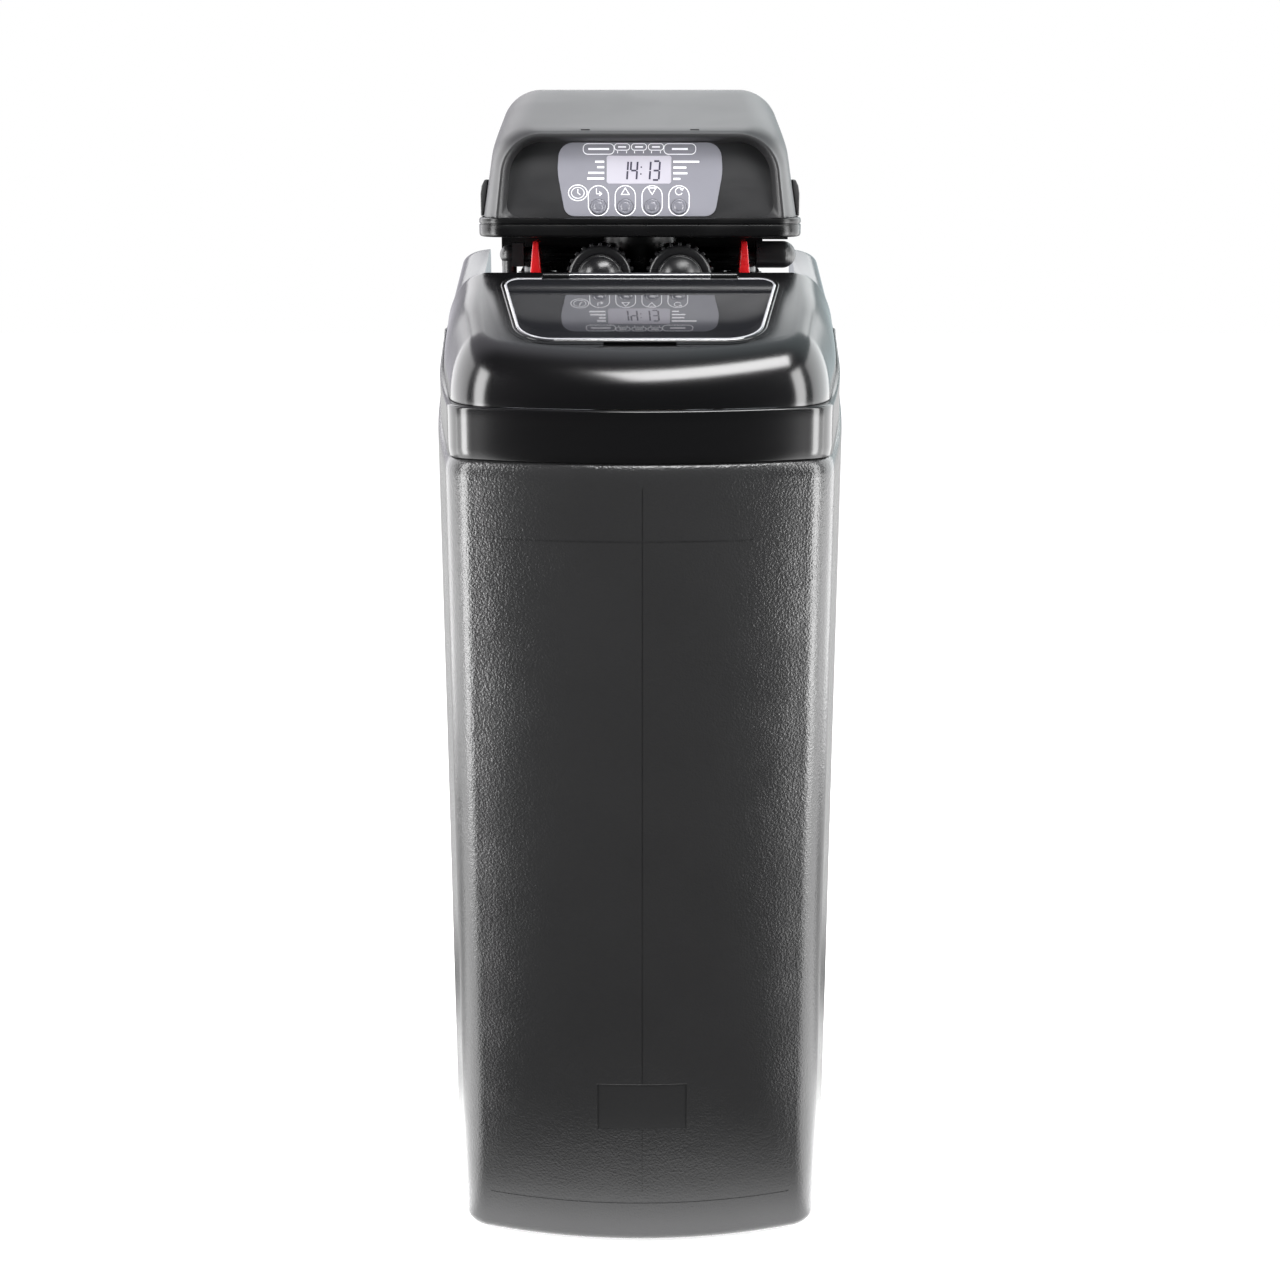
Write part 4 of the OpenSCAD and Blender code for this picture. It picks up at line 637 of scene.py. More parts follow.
# Solids that keep their shape and take a finish
KEPT = {
    "steel": "flap_hinge_pin float_rod piston_rod bracket_screws turbine_spindle",
    "fitting_black": "overflow_elbow bypass_body union_nuts drain_elbow brine_elbow",
    "tray_black": "drive_cap valve_body",
    "rubber": "overflow_gasket neck_o_ring air_check_ball",
    "tank_wound": "resin_tank",
    "boot_black": "tank_boot",
    "resin_beads": "resin_bed",
    "white_plastic": "riser_tube lower_strainer upper_strainer safety_valve brine_float air_check_cage piston "
                     "drive_gear reduction_gear tailpieces",
    "dark_plastic": "brine_well brine_well_cap seal_stack drive_bracket inlet_rotor outlet_rotor",
    "tubing": "pickup_tube brine_line",
    "brass": "motor_pinion injector",
    "motor_steel": "drive_motor",
    "red_plastic": "meter_turbine",
    "face_black": "face_plate",
    "panel_grey": "grey_panel",
    "display_glass": "display",
    "board_green": "circuit_board",
}

FINISHES = {}


def make_finishes(c):
    """All the finishes by the name of their material slot."""
    FINISHES.update(cabinet_black=cabinet_finish(c), smoked_window=window_finish(), tank_wound=wound_finish(),
                    resin_beads=bead_finish(), display_glass=display_finish(c))
    for name, (base, low, high, more) in PLASTICS.items():
        FINISHES[name] = plastic(name, getattr(c, base) if isinstance(base, str) else base, low, high, **more)


# Repeats made with geometry nodes

def copies(tree, into, out, points, more=None):
    """Ends a tree with copies of its object on points, made into one mesh with its finish."""
    source = put(tree, "GeometryNodeObjectInfo", {"Object": into["Object"]})
    spread = put(tree, "GeometryNodeInstanceOnPoints", {"Points": points, "Instance": source.outputs["Geometry"],
                                                        **(more or {})})
    whole = put(tree, "GeometryNodeRealizeInstances", {0: spread.outputs[0]})
    coated = put(tree, "GeometryNodeSetMaterial", {"Geometry": whole.outputs[0], "Material": into["Finish"]})
    fill(tree, out, {0: coated.outputs[0]})
    return tree


def ring_tree():
    """Copies of one tooth round a circle, each turned with the circle."""
    tree, into, out = group("Ring of teeth", "GeometryNodeTree",
                            {"Geometry": "Geometry", "Object": "Object", "Count": "Int", "Radius": "Float",
                             "Finish": "Material"}, {"Geometry": "Geometry"})
    circle = put(tree, "GeometryNodeMeshCircle", {"Vertices": into["Count"], "Radius": into["Radius"]})
    index = put(tree, "GeometryNodeInputIndex").outputs[0]
    turn = calc(tree, "DIVIDE", mul(tree, index, 2 * pi), into["Count"])
    euler = put(tree, "CombineXYZ", {2: turn})
    facing = put(tree, "FunctionNodeEulerToRotation", {0: euler.outputs[0]})
    return copies(tree, into, out, circle.outputs[0], {"Rotation": facing.outputs[0]})


def row_tree():
    """Copies of one outline along a straight row."""
    tree, into, out = group("Row of outlines", "GeometryNodeTree",
                            {"Geometry": "Geometry", "Object": "Object", "Count": "Int", "Start": "Vector",
                             "Step": "Vector", "Finish": "Material"}, {"Geometry": "Geometry"})
    row = put(tree, "GeometryNodeMeshLine", {"Count": into["Count"], "Start Location": into["Start"],
                                             "Offset": into["Step"]})
    return copies(tree, into, out, row.outputs[0])


def repeated(name, tree, values):
    """The part that a tree makes with the given inputs; its object is removed."""
    piece = placed(name, bpy.data.meshes.new(name))
    step = piece.modifiers.new("repeat", "NODES")
    step.node_group = tree
    for item in tree.interface.items_tree:
        if item.in_out == "INPUT" and item.name in values:
            step[item.identifier] = values[item.name]
    part = mesh_part(settle(piece))
    bpy.data.objects.remove(values["Object"])
    return part


# Printed marks on the face: flat strokes with a little thickness

def stroke(points, width, closed=False):
    """A strip of the given width along points in the plane."""
    line = vectors(*points)
    n = len(line)
    edge = []
    for i, p in enumerate(line):
        before = unit(p - line[i - 1]) if closed or i else unit(line[1] - p)
        after = unit(line[(i + 1) % n] - p) if closed or i < n - 1 else before
        normal = left_of(before) + left_of(after)
        normal = unit(normal) / max(0.35, unit(normal).dot(left_of(after)))
        edge.append((p + normal * width / 2, p - normal * width / 2))
    faces = [(2 * i, 2 * i + 1, 2 * ((i + 1) % n) + 1, 2 * ((i + 1) % n)) for i in range(n if closed else n - 1)]
    return [(q.x, q.y, 0.0) for pair in edge for q in pair], faces


def capsule(x, v, half_w, half_v, r, n=8):
    corners = rectangle(x - half_w, v - half_v, x + half_w, v + half_v)
    return rounded(corners, [r] * 4, [n] * 4, [0] * 4)


def oval(x, v, rx, rv, start=0, sweep=360, n=32):
    turns = [radians(start + sweep * k / n) for k in range(n if sweep == 360 else n + 1)]
    return [(x + rx * cos(t), v + rv * sin(t)) for t in turns]


def print_on(name, parts, shape, height, finish, thick):
    """One printed piece on the face from flat parts."""
    piece = solid(name, joined(*parts), finish, outward=False)
    step = piece.modifiers.new("ink", "SOLIDIFY")
    step.thickness, step.offset = thick * MM, 1.0
    settle(piece)
    place = shape.face.copy()
    place.translation = place.translation * MM
    piece.data.transform(place @ Matrix.Translation((0, 0, height * MM)))
    return piece


# Pieces

class PieceOperator:
    bl_options = {"REGISTER", "UNDO"}

    def execute(self, context):
        self.build(Shape(context.scene.softener_sizes), context.scene)
        return {"FINISHED"}


# Name, place, aim, width and height, watts
LAMPS = (
    ("left_strip", (-1.2, -0.8, 0.9), (-0.15, -0.2, 0.65), (0.42, 1.9), 34),
    ("right_strip", (1.2, -0.8, 0.9), (0.15, -0.2, 0.65), (0.42, 1.9), 30),
    ("left_wall", (-1.4, 0.5, 0.95), (0, 0.2, 0.75), (1.6, 1.9), 38),
    ("right_wall", (1.4, 0.5, 0.95), (0, 0.2, 0.75), (1.6, 1.9), 38),
    ("front_bank", (0.4, -0.85, 2.4), (0.1, -0.2, 0.9), (1.2, 0.5), 38),
    ("top_bank", (0.0, 1.75, 2.25), (0, 0.0, 0.95), (2.8, 0.8), 22),
)


class SOFTENER_OT_stage(PieceOperator, bpy.types.Operator):
    """Camera, floor, backdrop and studio light"""
    bl_idname = "softener.stage"
    bl_label = "Stage"

    def build(self, shape, scene):
        scene.view_settings.view_transform = "Standard"
        lens = bpy.data.cameras.new("camera")
        lens.sensor_width, lens.lens, lens.clip_end = 36.0, 56.25, 60.0
        camera = placed("camera", lens)
        camera.location = (0.0, -2.0565, 1.1025)
        camera.rotation_euler = (radians(90 - 14.39), 0, 0)
        scene.camera = camera
        self.world(scene)
        self.floor()
        for name, place, aim, size, power in LAMPS:
            lamp = bpy.data.lights.new(name, "AREA")
            lamp.shape, lamp.size, lamp.size_y, lamp.energy = "RECTANGLE", size[0], size[1], power
            holder = placed(name, lamp)
            holder.location = place
            holder.rotation_euler = (Vector(aim) - Vector(place)).to_track_quat("-Z", "Y").to_euler()

    def world(self, scene):
        """White behind the object, a dim room in front of it, an even grey for the soft light."""
        world = scene.world = bpy.data.worlds.new("studio")
        world.use_nodes = True
        tree = world.node_tree
        tree.nodes.clear()
        path = tree.nodes.new("ShaderNodeLightPath").outputs
        across, along, _ = axes(tree, tree.nodes.new("ShaderNodeTexCoord").outputs["Generated"])
        seen = most(tree, path["Is Camera Ray"], path["Is Transmission Ray"])
        mirror = mul(tree, path["Is Glossy Ray"], ramp(tree, along, -0.25, 0.3, 0.05, 1.0))
        cast = blend(tree, ramp(tree, across, -0.25, 0.25), (0.94, 0.92, 1.0, 1), (0.84, 0.97, 1.0, 1))
        shown = put(tree, "Background", {"Color": blend(tree, seen, cast, WHITE),
                                                   "Strength": most(tree, seen, mirror)})
        soft = put(tree, "Background", {"Color": WHITE, "Strength": 0.3})
        special = most(tree, seen, path["Is Glossy Ray"])
        both = put(tree, "MixShader", {0: special, 1: soft.outputs[0], 2: shown.outputs[0]})
        put(tree, "OutputWorld", {0: both.outputs[0]})

    def floor(self):
        """Pale floor that reads white to the camera, keeps the shadow and shines up at the foot and the sides."""
        made, tree, shader, where = blank("pale_floor")
        path = tree.nodes.new("ShaderNodeLightPath").outputs
        across, along, _ = axes(tree, where)
        away = put(tree, "VectorMath", {0: where}, operation="LENGTH").outputs["Value"]
        pale = blend(tree, noise(tree, where, 3.0), (0.80, 0.80, 0.80, 1), (0.84, 0.84, 0.84, 1))
        fill(tree, shader, {"Roughness": 0.9, "Specular IOR Level": 0.0,
                            "Base Color": blend(tree, path["Is Diffuse Ray"], pale, (0.2, 0.2, 0.2, 1))})
        lit = mul(tree, path["Is Camera Ray"], ramp(tree, away, 0.3, 1.3, 0.62, 1.0))
        beside = ramp(tree, calc(tree, "DIVIDE", calc(tree, "ABSOLUTE", across), away), 0.6, 0.8, 0.0, 5.5)
        near = most(tree, ramp(tree, away, 0.26, 0.5, 2.6, 0.1), beside)
        fore, rear = ramp(tree, along, -0.2, 0.15, 1.0, 0.25), ramp(tree, along, 0.3, 0.7)
        mirrored = most(tree, mul(tree, near, fore), rear)
        glow, pool = [put(tree, "Emission", {"Color": WHITE, "Strength": level}) for level in (lit, mirrored)]
        both = put(tree, "AddShader", {0: shader.outputs[0], 1: glow.outputs[0]})
        mirror = put(tree, "MixShader", {0: path["Is Glossy Ray"], 1: both.outputs[0], 2: pool.outputs[0]})
        fill(tree, tree.nodes["Material Output"], {0: mirror.outputs[0]})
        reach, under = 9000, -0.4
        corners = [(p.x, p.y, under) for p in rectangle(-reach, -reach, reach, reach)]
        floor = solid("floor", (corners, [(0, 1, 2, 3)]), made, outward=False)


class SOFTENER_OT_finishes(PieceOperator, bpy.types.Operator):
    """Finishes, and the solids that keep their shape"""
    bl_idname = "softener.finishes"
    bl_label = "Finishes"

    def build(self, shape, scene):
        make_finishes(scene.softener_colours)
        for finish, names in KEPT.items():
            for name in names.split():
                mesh = NODES[name].data
                mesh.materials.clear()
                mesh.materials.append(FINISHES[finish])


class SOFTENER_OT_cabinet(PieceOperator, bpy.types.Operator):
    """Grained cabinet with a rounded foot, shoulder and neck, and its mould marks"""
    bl_idname = "softener.cabinet"
    bl_label = "Cabinet"

    wall, base, steps = 4.5, 5, 40
    shoulder, fall = 9, 18      # width and height of the rounded shoulder
    neck = ((9.3, 9), (13, 9), (13, -9), (wall, -22.5))     # inset, height over the rim
    overflow = ((110, 200, 690), (110, 260, 690), 8.8)      # hole for the elbow
    # Depth, then the lower left and upper right corner: parting line, moulded line, foot line, label recess
    marks = ((0.35, (1.7, 60), (2.7, 780)), (0.5, (-155, 729), (105, 730.4)),
             (0.6, (-152, 46.2), (152, 47.8)), (0.9, (-42.5, 129), (46.5, 178)))

    def build(self, shape, scene):
        foot, draft, plan, rim = shape.s["foot_r"], shape.s["draft"], shape.plan, shape.rim
        inner = foot - self.wall
        rings = [plan(draft + foot * (1 - cos(t)), lambda y: foot * (1 - sin(t))) for t in QUARTER[::-1]]
        for k in range(1, self.steps):
            rings.append(plan(draft * (1 - k / self.steps),
                              lambda y: foot + (rim(y) - self.fall - foot) * k / self.steps))
        rings += [plan(self.shoulder * (1 - cos(t)), lambda y: rim(y) - self.fall * (1 - sin(t))) for t in QUARTER]
        rings += [plan(e, lambda y: rim(y) + rise) for e, rise in self.neck]
        rings += [plan(draft + self.wall + inner * (1 - cos(t)), lambda y: self.base + inner * (1 - sin(t)))
                  for t in QUARTER]
        piece = solid("cabinet", loft(rings), FINISHES["cabinet_black"], sharp=40)
        cut(piece, rod(*self.overflow), sharp=40)
        taper = lambda z: draft * (1 - (z - foot) / (rim(shape.front) - self.fall - foot))
        for deep, low, high in self.marks:
            core = loft([plan(taper(z) + deep, lambda y: z) for z in (20, 790)])
            mark = solid("mould_mark", block((low[0], -260, low[1]), (high[0], -150, high[1])))
            cut(mark, core)
            cut(piece, mesh_part(mark), sharp=40)
        fit(piece, "cabinet", "cabinet_black", "cabinet_shell")


class SOFTENER_OT_band(PieceOperator, bpy.types.Operator):
    """Glossy band with its rounded lip and the ledge for the lid"""
    bl_idname = "softener.band"
    bl_label = "Band"

    side, lip, rows = 3, 3.0, 5     # inset of the side, radius of the lip, rows up the side
    ledge_run = ((29.6, 0), (30, 0.4), (30, 12), (26.5, 12), (26.5, 3.5), (6.5, 3.5))   # inset, drop from the ledge

    def build(self, shape, scene):
        band, rim, ledge, lip = shape.band, shape.rim, shape.ledge, self.lip
        rings = [band(3.6, lambda y: rim(y) - 0.3), band(self.side, lambda y: rim(y) + 0.4)]
        rings += [band(self.side, lambda y: rim(y) + (ledge(y) - lip - rim(y)) * k / self.rows)
                  for k in range(1, self.rows + 1)]
        for a in [radians(t) for t in range(15, 91, 15)]:
            rings.append(band(self.side + lip * (1 - cos(a)), lambda y: ledge(y) - lip * (1 - sin(a))))
        rings += [band(e, lambda y: ledge(y) - drop) for e, drop in self.ledge_run]
        rings.append(band(6.5, lambda y: rim(y) - 0.3))
        piece = solid("glossy_band", loft(rings, loop=True, open_run=True), FINISHES["gloss_black"], sharp=50)
        fit(piece, "cabinet", "gloss_black", "front_collar")


class SOFTENER_OT_deck(PieceOperator, bpy.types.Operator):
    """Rear deck with sloping shoulders and the valve's well"""
    bl_idname = "softener.deck"
    bl_label = "Rear deck"

    wall, edge, rear_r = 3.5, 10, 37    # thickness, radius of the upper edge, radius of the rear corners
    floor, above = 902, 1100            # the well's floor, and a height clear of the deck

    def build(self, shape, scene):
        half, front, rear, t = shape.half - 3, shape.deck_front, shape.deck_rear, self.wall
        skirt, well, floor = shape.rim_rear - 0.3, shape.half - 32, self.floor
        opening, before, behind = well - 12, front - 1, rear + 40

        def ring(e, height):
            corners = inset(rectangle(-half, front, half, rear), e)
            radii = [3, 3, self.rear_r - e, self.rear_r - e]
            return lifted(rounded(corners, radii, [4, 4, 16, 16], [20] * 4), height)

        def shell(e, r, low):
            return loft([ring(e, lambda y: low)] + [
                ring(e + r * (1 - cos(a)), lambda y: shape.deck_top(y) - e - r * (1 - sin(a))) for a in QUARTER])

        piece = solid("rear_deck_cover", shell(0, self.edge, skirt), FINISHES["deck_black"])
        hollow = solid("deck_hollow", shell(t, self.edge - t, skirt - 1))
        cut(hollow, block((-well - t, before, floor - t), (well + t, behind, self.above)))
        cut(piece, mesh_part(hollow),
            block((-well, before, floor), (well, behind, self.above)),
            block((-opening, rear - 84, skirt + 5), (opening, behind, self.above)),
            block((-opening, before, skirt - 1), (opening, front + t + 1, floor - t)),
            block((-half + t, before, skirt - 1), (half - t, front + t + 1, skirt + 10.3)),
            rod((0, 62, skirt), (0, 62, 960), 66, 96), rod((-138, 92, skirt), (-138, 92, 960), 10.75), sharp=40)
        soften(piece, 0.8, 2, 50, 40)
        fit(piece, "cabinet", "gloss_black", "rear_deck")


# The window's hinge on the lid's slope: its line, radius of the knuckles, radius of the pin's hole
HINGE_Y, HINGE_Z, KNUCKLE_R, PIN_R = -15.5, 1, 3.6, 1.65


def along_hinge(start, end, r):
    return rod((start, HINGE_Y, HINGE_Z), (end, HINGE_Y, HINGE_Z), r)


def window_bead(name, shape, profile, finish, low, high):
    """Raised bead along the window's outline, open at the hinge."""
    bead = loft([shape.flap(e, h) for e, h in profile], loop=True)
    piece = solid(name, *shape.on_lid(bead), FINISHES[finish], sharp=60)
    cut(piece, *shape.on_lid(block(low, high)), sharp=60)
    return piece


class SOFTENER_OT_lid(PieceOperator, bpy.types.Operator):
    """Salt lid with rounded shoulders, the window's frame and the finger scoop"""
    bl_idname = "softener.lid"
    bl_label = "Salt lid"

    skin = 3.5
    turns = (0, 3, 7, 12, 18, 25, 32, 39, 46, 53, 60, 67, 74, 80, 85, 90)   # steps of the shoulder in degrees
    bead = ((-0.7, -0.6), (-0.7, 0.5), (-1.2, 1.0), (-2.2, 1.1), (-3.1, 0.7), (-3.6, -0.6))    # inset, height

    def build(self, shape, scene):
        width = shape.s["lid_round"]

        def ring(e, degrees):
            a = radians(degrees)
            w = sin(a)
            height = lambda y: (1 - w) * (shape.ledge(y) + 0.5) + w * (shape.lid_top(y) - e)
            return shape.lid(e + width * (1 - cos(a)), height, e)

        rings = [ring(self.skin, a) for a in self.turns[::-1]] + [ring(0, a) for a in self.turns]
        piece = solid("lid_cover", loft(rings), FINISHES["gloss_black"], sharp=40)
        frame_part = plate(shape.flap(-8), -7.3, 0.4)
        knuckles = [along_hinge(side * 69.5, side * 96.3, KNUCKLE_R) for side in SIDES]
        join(piece, *shape.on_lid(frame_part, *knuckles), sharp=40)
        cut(piece, *shape.on_lid(plate(shape.flap(-0.6), -3.3, 20), plate(shape.flap(8), -40, 20),
                                 block((-70.3, -19.7, -8.3), (70.3, -11.3, 20)), along_hinge(-98, 98, PIN_R),
                                 rod((-34, -165, 11), (34, -165, 11), 14, 96)), sharp=40)
        fit(piece, "lid", "gloss_black", "salt_lid")
        rim = window_bead("window_frame_bead", shape, self.bead, "gloss_black", (-97.2, -20.2, -3), (97.2, -9, 8))
        fit(rim, "lid", "gloss_black")


class SOFTENER_OT_window(PieceOperator, bpy.types.Operator):
    """Smoked window flap with a raised edge and its hinge knuckle"""
    bl_idname = "softener.window"
    bl_label = "Window flap"

    edge = ((1.6, -3), (0.6, -3), (0, -2.4), (0, 0.4), (0.5, 0.9), (1.2, 1.0), (1.9, 1.0), (3.0, 1.0))  # inset, height
    bead = ((0.9, 0.8), (1.0, 1.3), (1.5, 1.6), (2.2, 1.6), (2.7, 1.3), (2.8, 0.8))

    def build(self, shape, scene):
        flap = loft([shape.flap(e, h) for e, h in self.edge])
        piece = solid("smoked_flap", *shape.on_lid(flap), FINISHES["smoked_window"], sharp=40)
        join(piece, *shape.on_lid(block((-70.6, -22, -1), (70.6, HINGE_Y, 1.2)), along_hinge(-70.8, 70.8, KNUCKLE_R)),
             sharp=40)
        gaps = [block((side * 70, -20.5, -20), (side * 96.6, 0, 20)) for side in SIDES]
        cut(piece, *shape.on_lid(along_hinge(-90, 90, PIN_R), *gaps), sharp=40)
        fit(piece, "window", "smoked_window", "window_flap")
        rim = window_bead("flap_bead", shape, self.bead, "window_rim", (-97, -24, -3), (97, -9, 8))
        fit(rim, "window", "smoked_window")


class SOFTENER_OT_hood(PieceOperator, bpy.types.Operator):
    """Satin hood with its brow, and the tray that it stands on"""
    bl_idname = "softener.hood"
    bl_label = "Hood"

    front, end, back, half = -8.0, 114.0, 171.0, 160.0     # brow, end of the climb, rear, half the width
    corner_r, wall = 42, 2.4
    climbing = ((10, 8, 1), (22, 3, 3), (50, 0, 6))     # behind the front, less half width, more lean
    # Rows between the table's lines from the rear to the brow: line, number of rows
    counts = ((9, 5), (8, 5), (7, 5), (6, 6), (5, 5), (4, 10), (3, 6), (2, 5), (1, 5))
    lip = ((0, 0.6), (0.15, 0.2), (0.5, 0), (2.4, 0.1), (3.2, 0.8))     # inset, depth behind the front
    hook_r, inner_rows = 15.0, 10       # radius at the face's lower corners, rows from the lip to the face
    # Outside line of a clip: x, height over the seat
    clip = ((160.3, 0), (162.9, 0), (162.9, 22), (161.6, 30), (158.6, 36))
    # Section of the tray's wall: inset, z
    tray_wall = ((30, 995), (3.2, 995), (1.4, 995.5), (0.4, 996.6), (0, 998.4), (0, 1006.8), (0.3, 1007.2),
                 (1.1, 1007.5), (1.1, 1008.3), (0.3, 1008.6), (0, 1009), (0, 1011.6), (0.5, 1013.2), (1.8, 1014),
                 (5.4, 1014), (6, 1013.4), (6, 998.2), (6.4, 998), (30, 998))
    # Apron behind the valve: left, right, low, high
    apron = ((-148, 114, 957.5, 996.2), (-90, 90, 953, 958), (113, 131, 957.5, 996.2), (130, 158, 986, 996.2))

    def build(self, shape, scene):
        s, front, half, end, back = shape.s, self.front, self.half, self.end, self.back
        seat, lean = s["hood_seat"], s["brow_lean"]
        top, brow = seat + s["hood_h"], seat + s["brow_h"]
        climb = lambda y: brow + (top - 2 - brow) * (y - front) / (end - front)
        # Depth, half the width at the seat, lean of the sides, height
        table = [(front, half - 16, lean, brow - 2), (front + 2, half - 14, lean, brow),
                 *[(front + y, half - narrow, lean + more, climb(front + y)) for y, narrow, more in self.climbing],
                 (end, half, 21, top - 2), (end + 12, half, 21, top), (end + 28, half, 21, top - 1),
                 (back - 14, half - 3, 21, top - 9), (back - 4, half - 10, 20, top - 24),
                 (back, half - 20, 18, top - 42)]

        def section(y, wide, lean, high, e=0.0):
            """Open run from the right foot over the top to the left foot."""
            corners = vectors((-wide, seat - e), (wide, seat - e), (wide - lean, high), (-wide + lean, high))
            r = self.corner_r - e
            points = rounded(inset(corners, e), [0.01, 0.01, r, r], [1, 1, 20, 20], [0, 24, 24, 24])
            return [(p.x, y, p.y) for p in points[2:] + points[:2]]

        def between(k, f):
            """Smooth step f between two lines of the table."""
            a, b = table[k], table[k + 1]
            before, after = table[max(0, k - 1)], table[min(len(table) - 1, k + 2)]
            gap, f2, f3 = b[0] - a[0], f * f, f * f * f
            row = [a[0] + gap * f]
            for i in (1, 2, 3):
                m0 = (b[i] - before[i]) / (b[0] - before[0]) * gap
                m1 = (after[i] - a[i]) / (after[0] - a[0]) * gap
                row.append((2 * f3 - 3 * f2 + 1) * a[i] + (f3 - 2 * f2 + f) * m0
                           + (3 * f2 - 2 * f3) * b[i] + (f3 - f2) * m1)
            row[3] = min(row[3], top)
            return row

        def mouth(y, e):
            return section(y, half - 15, lean, brow - 1, e)

        rings = [section(*between(k, j / n)) for k, n in self.counts for j in range(n, 0, -1)]
        rings += [mouth(front + y, e) for e, y in self.lip]
        face_y = lambda z: -1 + (z - seat) * tan(shape.lean) + 0.2
        for k in range(1, self.inner_rows + 1):
            f, hook = k / self.inner_rows, self.hook_r * k / self.inner_rows
            ring = []
            for x, _, z in mouth(0, 3.4 + 5.0 * f ** 0.6):
                low = min(hook, max(0.0, hook - (z - seat)))
                inward = hook - sqrt(hook * hook - low * low)
                ring.append((x - copysign(inward, x), (front + 1) * (1 - f) + face_y(z) * f, z))
            rings.append(ring)
        piece = solid("hood_cover", loft(rings, ends=(True, False), open_run=True), FINISHES["hood_black"], sharp=40)
        step = piece.modifiers.new("wall", "SOLIDIFY")
        step.thickness, step.offset, step.use_even_offset = self.wall * MM, -1.0, False
        settle(piece, 40)
        slots = [block((side * 50, front + 6, brow - 6), (side * 59, front + 9, brow + 14)) for side in SIDES]
        cut(piece, *slots, sharp=40)
        fit(piece, "cabinet", "hood_black", "hood_shell")
        self.tray()
        self.clips(seat, lean + 6)

    def clips(self, seat, lean):
        """Snap clips that hug the hood's sides."""
        profile = self.clip + ((160.6 - lean * 0.36, 36),)
        for side, name in ((1, "right"), (-1, "left")):
            part = loft([[(side * x, y, seat + z) for x, z in profile] for y in (34, 50)])
            piece = solid(f"{name}_clip", part, FINISHES["hood_black"])
            soften(piece, 0.8, 3, 25)
            fit(piece, "cabinet", "hood_black", *(["hood_clips"] if side > 0 else []))

    def tray(self):
        rings = []
        for e, z in self.tray_wall:
            front_r, rear_r = max(1, 26 - e), max(1, 24 - e)
            points = rounded(inset(rectangle(-163, -12, 163, 172), e), [front_r, front_r, rear_r, rear_r], [16] * 4,
                             [20, 10, 20, 10])
            rings.append([(p.x, p.y, z) for p in points])
        piece = solid("hood_tray", loft(rings), FINISHES["tray_black"], sharp=40)
        join(piece, *[block((left, 122, low), (right, 125, high)) for left, right, low, high in self.apron], sharp=40)
        cut(piece, rod((0, 62, 990), (0, 62, 1010), 34, 64), rod((-70, 160, 1005), (-70, 190, 1005), 4), sharp=40)
        fit(piece, "cabinet", "hood_black", "hood_base")


